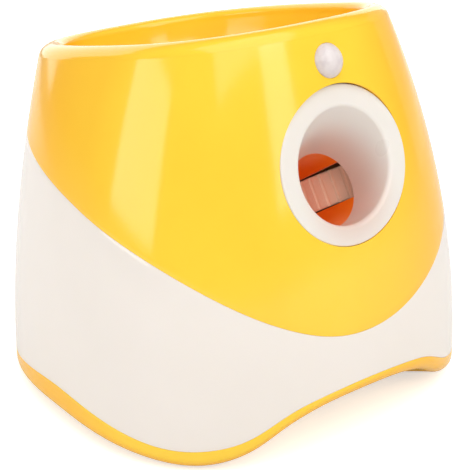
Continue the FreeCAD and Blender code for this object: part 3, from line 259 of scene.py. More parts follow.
LAUNCH = Lean(-52.0, 139.8, 33.0)
RING = Lean(-117.0, 192.8, 18.0)
LENS_Z = 259.3
LENS = Lean(LENS_Z ** 2 / (2 * RULE.crown) - RULE.front, LENS_Z, math.degrees(math.atan2(LENS_Z, RULE.crown)))


def turns(columns: int) -> Array:
    """Angles of evenly spread columns in radians."""
    return np.arange(columns) * TAU / columns


def quarter(steps: int) -> list[float]:
    """Angles of a quarter turn in radians, both ends included."""
    return [math.pi / 2 * k / steps for k in range(steps + 1)]


def circle(radius: float, depth: float, lean: Lean | None, columns: int) -> Row:
    """Ring of points across a frame's Y axis.

    Args:
        radius: Radius in millimetres.
        depth: Place along the frame's Y axis.
        lean: The frame, or None for a level ring about the drop axis whose depth is its height.
        columns: Number of points.

    Returns:
        Points in millimetres.
    """
    x, n = radius * np.sin(turns(columns)), radius * np.cos(turns(columns))
    level = np.full(columns, depth)
    if lean is None:
        return np.stack([x, -n - RULE.middle_y, level], axis=-1)
    return lean.place(np.stack([x, level, n], axis=-1))


# ------------------------------------------------------------------ meshes
def new_piece(name: str, mesh: bpy.types.Mesh) -> Piece:
    """Links a mesh as an object at the origin.

    Args:
        name: Name of the piece.
        mesh: Its mesh.

    Returns:
        The piece.
    """
    piece = bpy.data.objects.new(name, mesh)
    bpy.context.scene.collection.objects.link(piece)
    return piece


def row_faces(rows: int, columns: int, ring: bool) -> list[tuple[int, ...]]:
    """Quads between neighbouring closed rows, with a cap on both ends where they are open.

    Args:
        rows: Number of rows.
        columns: Points in each row.
        ring: Whether the last row joins the first.

    Returns:
        Vertex numbers of each face.
    """
    faces: list[tuple[int, ...]] = []
    for r in range(rows if ring else rows - 1):
        low, high = r * columns, (r + 1) % rows * columns
        for c in range(columns):
            after = (c + 1) % columns
            faces.append((low + c, low + after, high + after, high + c))
    if not ring:
        faces += [tuple(reversed(range(columns))), tuple(range((rows - 1) * columns, rows * columns))]
    return faces


def skin(name: str, rows: Sequence[Row], ring: bool = True) -> Piece:
    """Piece made of closed rows of points.

    Args:
        name: Name of the piece.
        rows: Rows of points in millimetres, all of one length.
        ring: Whether the last row joins the first; otherwise both ends get a cap.

    Returns:
        The new piece, shaded smooth between its sharp edges.
    """
    mesh = bpy.data.meshes.new(name)
    mesh.from_pydata((np.concatenate(rows) * MM).tolist(), [], row_faces(len(rows), len(rows[0]), ring))
    piece = new_piece(name, mesh)
    tidy_mesh(piece)
    return piece


def tidy_mesh(piece: Piece) -> None:
    """Merges doubles, turns faces outwards and marks the sharp edges.

    Args:
        piece: The piece to finish.
    """
    shape = bmesh.new()
    shape.from_mesh(piece.data)
    bmesh.ops.remove_doubles(shape, verts=shape.verts, dist=MERGE)
    bmesh.ops.recalc_face_normals(shape, faces=shape.faces)
    shape.to_mesh(piece.data)
    shape.free()
    piece.data.shade_smooth()
    piece.data.set_sharp_from_angle(angle=SHARP_ANGLE)


def piece_of(name: str, shape: bmesh.types.BMesh) -> Piece:
    """Piece made of an edited shape, which is freed.

    Args:
        name: Name of the piece.
        shape: The edited shape.

    Returns:
        The piece.
    """
    mesh = bpy.data.meshes.new(name)
    shape.to_mesh(mesh)
    shape.free()
    return new_piece(name, mesh)


def bake(piece: Piece) -> None:
    """Turns a piece's modifiers into plain mesh and removes them.

    Args:
        piece: The piece.
    """
    graph = bpy.context.evaluated_depsgraph_get()
    graph.update()
    mesh = bpy.data.meshes.new_from_object(piece.evaluated_get(graph))
    piece.modifiers.clear()
    old, piece.data = piece.data, mesh
    bpy.data.meshes.remove(old)
    mesh.name = piece.name


def cut(piece: Piece, cutters: Sequence[Piece], union: bool = False) -> None:
    """Cuts closed shapes out of a piece, or joins them to it, and removes them.

    Args:
        piece: The piece to change.
        cutters: Closed shapes.
        union: Whether the shapes are joined on instead of cut out.
    """
    for cutter in cutters:
        knife = piece.modifiers.new("cut", "BOOLEAN")
        knife.object = cutter
        knife.operation = "UNION" if union else "DIFFERENCE"
        knife.solver = "EXACT"
    bake(piece)
    for cutter in cutters:
        bpy.data.objects.remove(cutter)
    tidy_mesh(piece)


def turned_solid(name: str, profile: Sequence[tuple[float, float]], lean: Lean | None, columns: int = 96,
                 x: float = 0.0, y: float = 0.0) -> Piece:
    """Closed solid of revolution with a cap on both ends.

    Args:
        name: Name of the piece.
        profile: Places as (radius, depth) in millimetres, from one end to the other.
        lean: Frame whose Y axis is the axis of revolution, or None for an upright one.
        columns: Points round the axis.
        x: Added to every point, in millimetres.
        y: Added to every point, in millimetres.

    Returns:
        The new piece.
    """
    return skin(name, [circle(r, d, lean, columns) + (x, y, 0) for r, d in profile], ring=False)


def block(name: str, low: Sequence[float], high: Sequence[float]) -> Piece:
    """Box between two corners in millimetres.

    Args:
        name: Name of the piece.
        low: Lowest corner.
        high: Highest corner.

    Returns:
        The piece.
    """
    shape = bmesh.new()
    low_corner, high_corner = Vector(low) * MM, Vector(high) * MM
    size = Matrix.Diagonal([*(high_corner - low_corner), 1.0])
    bmesh.ops.create_cube(shape, size=1.0, matrix=Matrix.Translation((low_corner + high_corner) / 2) @ size)
    piece = piece_of(name, shape)
    tidy_mesh(piece)
    return piece


# ------------------------------------------------------------------ node trees
@dataclass
class Wiring:
    """Short ways to add nodes to a tree and to link them."""

    tree: Tree

    def node(self, kind: str, inputs: dict[str | int, object] | None = None, **settings: object) -> Node:
        """Adds a node.

        Args:
            kind: Blender's name of the node type.
            inputs: Sockets to link or constants to set, by input name or number.
            **settings: Properties to set on it.

        Returns:
            The new node.
        """
        made = self.tree.nodes.new(kind)
        for key, value in settings.items():
            setattr(made, key, value)
        for key, value in (inputs or {}).items():
            self.feed(value, made.inputs[key])
        return made

    def feed(self, value: object, socket: Socket) -> None:
        """Links a socket to another, or sets a constant on it.

        Args:
            value: Socket to link from, number, vector, object, or colour without its alpha.
            socket: The input.
        """
        if isinstance(value, Socket):
            self.tree.links.new(value, socket)
        elif socket.type == "RGBA":
            socket.default_value = (*value, 1.0)
        else:
            socket.default_value = value

    def math(self, operation: str, *values: Socket | float) -> Socket:
        """Adds a Math node fed by sockets or numbers and returns its result."""
        return self.node("ShaderNodeMath", dict(enumerate(values)), operation=operation).outputs[0]

    def product(self, first: Socket | float, *others: Socket | float) -> Socket:
        """Multiplies sockets or numbers.

        Args:
            first: The first factor.
            *others: The other factors.

        Returns:
            The product.
        """
        for other in others:
            first = self.math("MULTIPLY", first, other)
        return first

    def total(self, first: Socket | float, *others: Socket | float) -> Socket:
        """Adds up sockets or numbers.

        Args:
            first: The first number.
            *others: The other numbers.

        Returns:
            The sum.
        """
        for other in others:
            first = self.math("ADD", first, other)
        return first

    def place(self) -> Socket:
        """Object coordinates."""
        return self.node("ShaderNodeTexCoord").outputs["Object"]

    def noise(self, place: Socket, scale: float, detail: float, rough: float = 0.5) -> Socket:
        """Adds a noise texture.

        Args:
            place: Coordinates.
            scale: Scale per metre.
            detail: Octaves.
            rough: Weight of the octaves.

        Returns:
            The noise value, about 0 to 1.
        """
        inputs = {"Vector": place, "Scale": scale, "Detail": detail, "Roughness": rough}
        return self.node("ShaderNodeTexNoise", inputs).outputs["Fac"]

    def window(self, value: Socket, low: Socket | float, high: Socket | float, top: float = 1.0) -> Socket:
        """Maps a value's range smoothly to another.

        Args:
            value: The value.
            low: Where the result is 0.
            high: Where the result is the top.
            top: The largest result.

        Returns:
            The mapped value.
        """
        inputs = {"Value": value, "From Min": low, "From Max": high, "To Min": 0.0, "To Max": top}
        return self.node("ShaderNodeMapRange", inputs, interpolation_type="SMOOTHSTEP").outputs["Result"]

    def blend(self, share: Socket, first: Socket | Colour, second: Socket | Colour) -> Socket:
        """Mixes two colours by a share and returns the result."""
        inputs = {"Factor": share, "A": first, "B": second}
        return self.node("ShaderNodeMix", inputs, data_type="RGBA").outputs["Result"]

    def seen(self) -> Socket:
        """Mask that is 1 for camera rays and see-through rays."""
        path = self.node("ShaderNodeLightPath").outputs
        return self.math("MAXIMUM", path["Is Camera Ray"], path["Is Transmission Ray"])


class NodeGroup(Wiring):
    """Node group with named inputs and outputs."""

    def __init__(self, kind: str, name: str, inputs: dict[str, object]) -> None:
        """Makes the group with its inputs.

        Args:
            kind: Blender's name of the tree type.
            name: Name of the group.
            inputs: For each input a starting value, or the kind of a socket without one.
        """
        super().__init__(bpy.data.node_groups.new(name, kind))
        for key, value in inputs.items():
            self.socket(key, "INPUT", value if isinstance(value, str) else self.kind_of(value), value)
        self.start, self.end = self.node("NodeGroupInput"), self.node("NodeGroupOutput")

    def __getitem__(self, name: str) -> Socket:
        """Socket to link from for an input of the group."""
        return self.start.outputs[name]

    @staticmethod
    def kind_of(value: object) -> str:
        """Kind of socket that holds a number, a Vector or a colour."""
        return "Float" if isinstance(value, float) else "Vector" if isinstance(value, Vector) else "Color"

    def socket(self, name: str, side: str, kind: str, value: object = "") -> None:
        """Adds a socket to the group.

        Args:
            name: Name of the socket.
            side: INPUT or OUTPUT.
            kind: Kind of socket, such as Float.
            value: Its starting value; text stands for none.
        """
        item = self.tree.interface.new_socket(name, in_out=side, socket_type=f"NodeSocket{kind}")
        if not isinstance(value, str):
            item.default_value = (*value, 1.0) if kind == "Color" else value

    def put(self, **results: Socket) -> Tree:
        """Makes an output for each result and returns the finished group.

        Args:
            **results: Result to link, by the output's name.

        Returns:
            The finished group.
        """
        for name, result in results.items():
            kind = {"Colour": "Color", "Geometry": "Geometry"}.get(name, "Float")
            self.socket(name, "OUTPUT", kind)
            self.feed(result, self.end.inputs[name])
        return self.tree


# ------------------------------------------------------------------ Geometry Nodes
class ShapeTree(NodeGroup):
    """Geometry Nodes tree with a geometry, named inputs and a finish."""

    def __init__(self, name: str, inputs: dict[str, object]) -> None:
        """Makes the tree with its inputs, by name."""
        super().__init__("GeometryNodeTree", name, {"Geometry": "Geometry", **inputs, "Finish": "Material"})

    def attribute(self, name: str) -> Socket:
        """Number that each point of the mesh carries under a name."""
        return self.node("GeometryNodeInputNamedAttribute", {"Name": name}, data_type="FLOAT").outputs["Attribute"]

    def close(self, geometry: Socket) -> Tree:
        """Ends the tree in Realize Instances and Set Material.

        Args:
            geometry: The geometry to put out.

        Returns:
            The finished tree.
        """
        real = self.node("GeometryNodeRealizeInstances", {"Geometry": geometry}).outputs[0]
        dressed = self.node("GeometryNodeSetMaterial", {"Geometry": real, "Material": self["Finish"]})
        return self.put(Geometry=dressed.outputs[0])


def run_tree(piece: Piece, tree: Tree, values: dict[str, object]) -> None:
    """Runs a Geometry Nodes tree on a piece and turns the result into plain mesh.

    Args:
        piece: The piece.
        tree: The tree.
        values: Input values by name.
    """
    modifier = piece.modifiers.new(tree.name, "NODES")
    modifier.node_group = tree
    for item in tree.interface.items_tree:
        if item.item_type == "SOCKET" and item.in_out == "INPUT" and item.name in values:
            modifier[item.identifier] = values[item.name]
    piece.update_tag()
    bake(piece)


WALL_SIZES = {"Half Width": RULE.half_width * MM, "Front Reach": RULE.front * MM, "Back Reach": RULE.back * MM,
              "Crown": RULE.crown * MM, "Flare": RULE.flare, "Power": RULE.power, "Middle": RULE.middle_y * MM}


def wall_tree() -> Tree:
    """Tree that puts a strip with turn, height and inset attributes on the body's wall.

    Returns:
        The tree.
    """
    n = ShapeTree("body_wall", WALL_SIZES)
    turn, z, inset = (n.attribute(name) for name in ("turn", "height", "inset"))
    sine, cosine = n.math("SINE", turn), n.math("COSINE", turn)
    sag = n.math("DIVIDE", n.product(z, z), n.product(n["Crown"], 2.0))
    ahead = n.math("SUBTRACT", n["Front Reach"], sag)
    behind = n.math("MULTIPLY_ADD", n["Flare"], z, n["Back Reach"])
    facing = n.math("GREATER_THAN", cosine, 0.0)
    reach = n.total(behind, n.product(facing, n.math("SUBTRACT", ahead, behind)))
    width = n.math("SUBTRACT", n.math("SUBTRACT", n["Half Width"], sag), inset)
    across = n.math("DIVIDE", n.math("ABSOLUTE", sine), width)
    along = n.math("DIVIDE", n.math("ABSOLUTE", cosine), n.math("SUBTRACT", reach, inset))
    whole = n.total(n.math("POWER", across, n["Power"]), n.math("POWER", along, n["Power"]))
    far = n.math("POWER", whole, n.math("DIVIDE", -1.0, n["Power"]))
    y = n.math("SUBTRACT", n.product(far, cosine, -1.0), n["Middle"])
    spot = n.node("ShaderNodeCombineXYZ", {"X": n.product(far, sine), "Y": y, "Z": z})
    move = n.node("GeometryNodeSetPosition", {"Geometry": n["Geometry"], "Position": spot.outputs[0]})
    return n.close(move.outputs[0])


def scatter_tree() -> Tree:
    """Tree that sets a copy of a shape on each point of a mesh.

    Returns:
        The tree.
    """
    n = ShapeTree("shape_on_points", {"Shape": "Object"})
    shape = n.node("GeometryNodeObjectInfo", {"Object": n["Shape"]}).outputs["Geometry"]
    points = n.node("GeometryNodeMeshToPoints", {"Mesh": n["Geometry"]}).outputs[0]
    return n.close(n.node("GeometryNodeInstanceOnPoints", {"Points": points, "Instance": shape}).outputs[0])


@dataclass
class Trees:
    """The trees, each built once."""

    wall: Tree = field(default_factory=wall_tree)
    scatter: Tree = field(default_factory=scatter_tree)


@dataclass(frozen=True)
class WallRow:
    """One closed row on the body's wall: a height rule over the angle, and a depth below the surface (mm)."""

    height: HeightRule
    inset: float | Callable[[Array], Array] = 0.0

    def sample(self, turn: Array) -> tuple[Array, Array]:
        """Height and inset at each angle."""
        depth = self.inset(turn) if callable(self.inset) else np.full_like(turn, float(self.inset))
        return self.height(turn, depth), depth


def seam(curve: HeightCurve, rise: float = 0.0) -> HeightRule:
    """Height rule that follows a curve."""
    return lambda turn, inset: curve.at(turn, rise)


def rim(drop: float) -> HeightRule:
    """Height rule that follows the rim plane."""
    return lambda turn, inset: RULE.rim(turn, inset, drop)


def level(height: float) -> HeightRule:
    """Height rule that stays at one height."""
    return lambda turn, inset: np.full_like(turn, height)


def mixed(low: HeightRule, high: HeightRule, share: float) -> HeightRule:
    """Height rule between two others."""
    return lambda turn, inset: low(turn, inset) * (1 - share) + high(turn, inset) * share


def wall_piece(name: str, rows: Sequence[WallRow], tree: Tree, ring: bool = True) -> Piece:
    """Piece whose every row lies on the body's wall.

    Args:
        name: Name of the piece.
        rows: The rows in order round the wall's section.
        tree: The wall's tree.
        ring: Whether the last row joins the first; otherwise both ends get a cap.

    Returns:
        The piece as plain mesh.
    """
    turn = turns(WALL_COLUMNS)
    samples = [row.sample(turn) for row in rows]
    values = {"turn": np.tile(turn, len(rows)),
              "height": np.concatenate([s[0] for s in samples]) * MM,
              "inset": np.concatenate([s[1] for s in samples]) * MM}
    mesh = bpy.data.meshes.new(name)
    mesh.from_pydata([(0.0, 0.0, 0.0)] * len(rows) * WALL_COLUMNS, [], row_faces(len(rows), WALL_COLUMNS, ring))
    for key, data in values.items():
        mesh.attributes.new(key, "FLOAT", "POINT").data.foreach_set("value", data.astype(np.float32))
    piece = new_piece(name, mesh)
    run_tree(piece, tree, WALL_SIZES)
    for key in values:
        piece.data.attributes.remove(piece.data.attributes[key])
    tidy_mesh(piece)
    return piece


def scattered(name: str, shape: Piece, places: Sequence[Sequence[float]], trees: Trees) -> Piece:
    """Copies of a shape on places, as one plain mesh; the shape itself is removed.

    Args:
        name: Name of the piece.
        shape: The shape to copy, drawn about the origin.
        places: Places in millimetres.
        trees: The trees.

    Returns:
        The new piece.
    """
    mesh = bpy.data.meshes.new(name)
    mesh.from_pydata([[c * MM for c in p] for p in places], [], [])
    piece = new_piece(name, mesh)
    run_tree(piece, trees.scatter, {"Shape": shape})
    bpy.data.objects.remove(shape)
    tidy_mesh(piece)
    return piece


# ------------------------------------------------------------------ effects
PALE = (0.8, 0.8, 0.8)
DUST = (0.55, 0.52, 0.47)


class Effect(NodeGroup):
    """Shader node group that puts out colours, masks, values and normals."""

    def __init__(self, name: str, inputs: dict[str, object]) -> None:
        """Makes the group with its inputs, by name."""
        super().__init__("ShaderNodeTree", name, inputs)

    def stretched(self, place: Socket, scale: Sequence[float], turn: Sequence[float] = (0.0, 0.0, 0.0)) -> Socket:
        """Coordinates scaled and turned for a pattern with a direction."""
        return self.node("ShaderNodeMapping", {"Vector": place, "Scale": scale, "Rotation": turn}).outputs[0]


def moulded_effect() -> Tree:
    """Injection-moulded plastic: faint flow marks, orange peel, hairline scratches and settled dust.

    Returns:
        The group.
    """
    e = Effect("moulded_plastic", {"Colour": PALE, "Deep Colour": PALE, "Roughness": 0.15, "Peel": 1.0,
                                   "Scratches": 0.3, "Dust": 0.1})
    spot = e.place()
    flow = e.noise(spot, 9.0, 3.0, 0.6)
    hairline = e.noise(e.stretched(spot, (1.0, 1.0, 0.06), (0.5, 0.9, 0.3)), 900.0, 1.0, 0.4)
    marks = e.product(e.window(hairline, 0.71, 0.76), e["Scratches"])
    normal = e.node("ShaderNodeSeparateXYZ", {0: e.node("ShaderNodeNewGeometry").outputs["Normal"]})
    dust = e.product(e.window(e.noise(spot, 1500.0, 0.0), 0.66, 0.78),
                     e.window(normal.outputs["Z"], 0.3, 1.0), e["Dust"])
    body = e.blend(e.window(flow, 0.3, 0.7), e["Colour"], e["Deep Colour"])
    rough = e.total(e["Roughness"], e.product(e.math("SUBTRACT", flow, 0.5), 0.05),
                    e.product(marks, 0.25), e.product(dust, 0.4))
    height = e.math("SUBTRACT", e.product(e.noise(spot, 420.0, 2.0), e["Peel"]), e.product(marks, 0.5))
    return e.put(Colour=e.blend(dust, body, DUST), Roughness=rough, Height=height)


def hollow_shade_effect() -> Tree:
    """Painted shade: a darker copy of the colour in grooves and inner corners, from the surface's own hollows.

    Returns:
        The group.
    """
    e = Effect("crevice_dirt", {"Colour": PALE, "Dirt": PALE, "Amount": 0.5})
    hollow = e.node("ShaderNodeNewGeometry").outputs["Pointiness"]
    hollow_shade_mask = e.product(e.window(hollow, 0.495, 0.43), e["Amount"], e.window(e.noise(e.place(), 160.0, 4.0), 0.25, 0.6))
    return e.put(Colour=e.blend(hollow_shade_mask, e["Colour"], e["Dirt"]))


def glancing_shade_effect() -> Tree:
    """Painted shade: deeper, darker colour where a see-through skin is looked at along its surface; the facing comes
    from outside.
    """
    e = Effect("glancing_colour", {"Colour": PALE, "Edge": PALE, "Facing": 0.0})
    return e.put(Colour=e.blend(e.window(e["Facing"], 0.24, 0.62), e["Colour"], e["Edge"]))


def bounce_effect() -> Tree:
    """Warm tint that fades with the distance from a place, as light thrown back by a coloured neighbour.

    Returns:
        The group.
    """
    e = Effect("warm_bounce", {"Colour": PALE, "Tint": PALE, "Place": Vector(), "Near": 0.02, "Far": 0.05})
    away = e.node("ShaderNodeVectorMath", {0: e.place(), 1: e["Place"]}, operation="DISTANCE").outputs["Value"]
    return e.put(Colour=e.blend(e.window(away, e["Far"], e["Near"]), e["Colour"], e["Tint"]))


def rubber_effect() -> Tree:
    """Soft rubber: chalky bloom, fine pits and scuffed high places.

    Returns:
        The group.
    """
    e = Effect("worn_rubber", {"Colour": PALE, "Bloom": PALE, "Roughness": 0.6, "Wear": 0.5})
    spot = e.place()
    scuff = e.product(e.window(e.noise(spot, 260.0, 3.0), 0.52, 0.72), e["Wear"])
    veil = e.product(e.window(e.noise(spot, 40.0, 5.0, 0.6), 0.35, 0.75), e["Wear"], 0.5)
    return e.put(Colour=e.blend(e.math("MAXIMUM", veil, scuff), e["Colour"], e["Bloom"]),
                 Roughness=e.total(e["Roughness"], e.product(scuff, 0.2)),
                 Height=e.total(e.noise(spot, 1400.0, 2.0), e.product(scuff, 0.6)))


def metal_effect() -> Tree:
    """Drawn or plated metal: lengthwise grain, blotches of plating and small stains.

    Returns:
        The group.
    """
    e = Effect("machined_metal", {"Colour": PALE, "Stain": PALE, "Roughness": 0.3, "Grain": 1.0})
    spot = e.place()
    grain = e.noise(e.stretched(spot, (0.05, 1.0, 1.0)), 1800.0, 2.0)
    stain = e.window(e.noise(spot, 70.0, 4.0, 0.6), 0.58, 0.8, 0.5)
    rough = e.total(e["Roughness"], e.product(e.math("SUBTRACT", grain, 0.5), 0.15), e.product(stain, 0.3))
    return e.put(Colour=e.blend(stain, e["Colour"], e["Stain"]), Roughness=rough,
                 Height=e.product(grain, e["Grain"]))


def circuit_effect() -> Tree:
    """Solder-masked board: copper tracks under the mask, pads and silk-like specks.

    Returns:
        The group.
    """
    e = Effect("circuit_board", {"Colour": PALE, "Track": PALE, "Scale": 220.0})
    cells = e.node("ShaderNodeTexVoronoi", {"Vector": e.place(), "Scale": e["Scale"]},
                   distance="MANHATTAN", feature="F1").outputs["Distance"]
    lines = e.window(e.math("PINGPONG", e.product(cells, 6.0), 1.0), 0.55, 0.7)
    return e.put(Colour=e.blend(lines, e["Colour"], e["Track"]), Height=lines)


def lens_effect() -> Tree:
    """Moulded lens skin: shallow facets and a cloudy body.

    Returns:
        The group.
    """
    e = Effect("faceted_lens", {"Colour": PALE, "Cloud": PALE, "Facet Scale": 330.0})
    spot = e.place()
    inputs = {"Vector": spot, "Scale": e["Facet Scale"], "Smoothness": 0.25, "Randomness": 0.35}
    cells = e.node("ShaderNodeTexVoronoi", inputs, feature="SMOOTH_F1").outputs["Distance"]
    cloud = e.window(e.noise(spot, 170.0, 3.0), 0.35, 0.7)
    return e.put(Colour=e.blend(cloud, e["Colour"], e["Cloud"]), Height=e.product(cells, -1.0))


@dataclass
class Effects:
    """The shared effects, each built once."""

    moulded: Tree = field(default_factory=moulded_effect)
    hollow_shade: Tree = field(default_factory=hollow_shade_effect)
    glancing_shade: Tree = field(default_factory=glancing_shade_effect)
    bounce: Tree = field(default_factory=bounce_effect)
    rubber: Tree = field(default_factory=rubber_effect)
    metal: Tree = field(default_factory=metal_effect)
    circuit: Tree = field(default_factory=circuit_effect)
    lens: Tree = field(default_factory=lens_effect)


# ------------------------------------------------------------------ finishes
# painted shade in hollows: share of the deep colour it darkens to, and how strongly
HOLLOW_SHADE_SHARE = 0.35
HOLLOW_SHADE_AMOUNT = 0.4
CLOUD_SHARE = 0.85
GLOW_SPREAD, GLOW_DEPTH = (1.0, 0.6, 0.25), 0.004
PLASTIC_IOR = 1.5
CHAMBER_MOUTH = Vector((0.0, -0.1002, 0.1676))
BOUNCE_NEAR, BOUNCE_FAR = 0.026, 0.054


class Surface(Wiring):
    """Material with a Principled shader that effects feed."""

    def __init__(self, name: str) -> None:
        """Makes the material under its name.

        Args:
            name: Name of the material.
        """
        self.material = bpy.data.materials.new(name)
        self.material.use_nodes = True
        super().__init__(self.material.node_tree)
        self.shader = self.tree.nodes["Principled BSDF"]

    def effect(self, group: Tree, values: dict[str, object]) -> Node:
        """Adds an effect with the values of its inputs, by name."""
        return self.node("ShaderNodeGroup", values, node_tree=group)

    def shade(self, values: dict[str, object]) -> None:
        """Links or sets inputs of the Principled shader, by name."""
        for key, value in values.items():
            self.feed(value, self.shader.inputs[key])

    def start(self, group: Tree, values: dict[str, object], bump: float, depth: float) -> Node:
        """Adds the main effect, which feeds colour, roughness where it has one, and relief.

        Args:
            group: The effect.
            values: Values of its inputs, by name.
            bump: Strength of the relief.
            depth: Depth of the relief in metres.

        Returns:
            The effect's node.
        """
        made = self.effect(group, values)
        inputs = {"Strength": bump, "Distance": depth, "Height": made.outputs["Height"]}
        self.shade({"Base Color": made.outputs["Colour"], "Normal": self.node("ShaderNodeBump", inputs).outputs[0]})
        if "Roughness" in made.outputs:
            self.shade({"Roughness": made.outputs["Roughness"]})
        return made


@dataclass(frozen=True)
class Finish:
    """What every finish has: its slot and its main colour."""

    slot: Slot
    colour: Colour

    def make(self, effects: Effects) -> bpy.types.Material:
        """Builds the material.

        Args:
            effects: The shared effects.

        Returns:
            The material, named after the slot.
        """
        surface = Surface(self.slot.value)
        self.cover(surface, effects)
        return surface.material

    def cover(self, s: Surface, effects: Effects) -> None:
        """Adds the effects and settings that a kind of finish has."""
        raise NotImplementedError


@dataclass(frozen=True)
class MouldedPlastic(Finish):
    """Moulded plastic, from a gloss shell to a matt frame."""

    deep: Colour
    roughness: float
    peel: float
    scratches: float
    dust: float
    glow: float = 0.0
    bump: float = 0.05
    depth: float = 0.0002
    # painted glow: the colour gives off light though the part is no lamp
    painted_glow: float = 0.0
    # edge: painted shade, the darker colour where the skin is seen at a glancing angle
    edge: Colour | None = None
    bounce: Colour | None = None

    def cover(self, s: Surface, effects: Effects) -> None:
        """Adds the plastic's grain, painted shade in its hollows, and the painted glancing shade, painted bounce
        light and painted glow that it has.

        Args:
            s: The material to cover.
            effects: The shared effects.
        """
        values = {"Colour": self.colour, "Deep Colour": self.deep, "Roughness": self.roughness,
                  "Peel": self.peel, "Scratches": self.scratches, "Dust": self.dust}
        colour = s.start(effects.moulded, values, self.bump, self.depth).outputs["Colour"]
        # painted shade in grooves and inner corners, a darker copy of the deep colour
        hollow_shade_colour = tuple(HOLLOW_SHADE_SHARE * c for c in self.deep)
        steps = [(effects.hollow_shade, {"Dirt": hollow_shade_colour, "Amount": HOLLOW_SHADE_AMOUNT})]
        # painted shade at glancing view, from the Layer Weight facing
        if self.edge:
            facing = s.node("ShaderNodeLayerWeight", {"Blend": 0.5}).outputs["Facing"]
            steps.append((effects.glancing_shade, {"Edge": self.edge, "Facing": facing}))
        if self.bounce:
            steps.append((effects.bounce, {"Tint": self.bounce, "Place": CHAMBER_MOUTH,
                                           "Near": BOUNCE_NEAR, "Far": BOUNCE_FAR}))
        for group, inputs in steps:
            colour = s.effect(group, {"Colour": colour, **inputs}).outputs["Colour"]
        s.shade({"Base Color": colour, "IOR": PLASTIC_IOR})
        # painted glow of the plastic's own colour
        if self.painted_glow:
            s.shade({"Emission Color": colour, "Emission Strength": self.painted_glow})
        if self.glow:
            s.shade({"Subsurface Weight": self.glow, "Subsurface Radius": GLOW_SPREAD,
                     "Subsurface Scale": GLOW_DEPTH})


@dataclass(frozen=True)
class SoftRubber(Finish):
    """Rubber of the tyres and feet."""

    bloom: Colour
    roughness: float
    wear: float
    # painted glow: the colour gives off light though the part is no lamp
    painted_glow: float = 0.0
    sheen: float = 0.1
    bump: float = 0.25
    depth: float = 0.0002

    def cover(self, s: Surface, effects: Effects) -> None:
        """Adds the rubber's pits and bloom, and its painted glow.

        Args:
            s: The material to cover.
            effects: The shared effects.
        """
        values = {"Colour": self.colour, "Bloom": self.bloom, "Roughness": self.roughness, "Wear": self.wear}
        colour = s.start(effects.rubber, values, self.bump, self.depth).outputs["Colour"]
        # the emission is painted glow of the rubber's colour
        s.shade({"Sheen Weight": self.sheen, "Emission Color": colour, "Emission Strength": self.painted_glow})


@dataclass(frozen=True)
class WorkedMetal(Finish):
    """Plated, drawn or machined metal."""

    stain: Colour
    roughness: float
    grain: float
    bump: float = 0.12
    depth: float = 0.0001

    def cover(self, s: Surface, effects: Effects) -> None:
        """Adds the metal's grain and stains.

        Args:
            s: The material to cover.
            effects: The shared effects.
        """
        values = {"Colour": self.colour, "Stain": self.stain, "Roughness": self.roughness, "Grain": self.grain}
        s.start(effects.metal, values, self.bump, self.depth)
        s.shade({"Metallic": 1.0})


@dataclass(frozen=True)
class CircuitBoard(Finish):
    """Solder-masked circuit board."""

    track: Colour
    roughness: float = 0.3
    bump: float = 0.2
    depth: float = 0.00005

    def cover(self, s: Surface, effects: Effects) -> None:
        """Adds the board's tracks."""
        s.start(effects.circuit, {"Colour": self.colour, "Track": self.track}, self.bump, self.depth)
        s.shade({"Roughness": self.roughness})


@dataclass(frozen=True)
class MilkyLens(Finish):
    """Cloudy polyethylene lens in front of the motion sensor."""

    cloud: Colour
    facets: float = 330.0
    roughness: float = 0.32
    glow: float = 0.35
    spread: tuple[float, float, float] = (1.0, 0.8, 0.8)
    glow_depth: float = 0.003
    bump: float = 0.35
    depth: float = 0.0006

    def cover(self, s: Surface, effects: Effects) -> None:
        """Adds the lens's facets and its cloudy body.

        Args:
            s: The material to cover.
            effects: The shared effects.
        """
        values = {"Colour": self.colour, "Cloud": self.cloud, "Facet Scale": self.facets}
        s.start(effects.lens, values, self.bump, self.depth)
        s.shade({"Roughness": self.roughness, "Subsurface Weight": self.glow, "Subsurface Radius": self.spread,
                 "Subsurface Scale": self.glow_depth})


@dataclass(frozen=True)
class LightPipe(Finish):
    """Clear light guide with a faint frosted body."""

    facets: float = 900.0
    roughness: float = 0.15
    clearness: float = 0.7
    ior: float = 1.49
    bump: float = 0.1
    depth: float = 0.0001

    def cover(self, s: Surface, effects: Effects) -> None:
        """Adds the frost of the guide.

        Args:
            s: The material to cover.
            effects: The shared effects.
        """
        cloud = tuple(CLOUD_SHARE * c for c in self.colour)
        values = {"Colour": self.colour, "Cloud": cloud, "Facet Scale": self.facets}
        s.start(effects.lens, values, self.bump, self.depth)
        s.shade({"Roughness": self.roughness, "Transmission Weight": self.clearness, "IOR": self.ior})


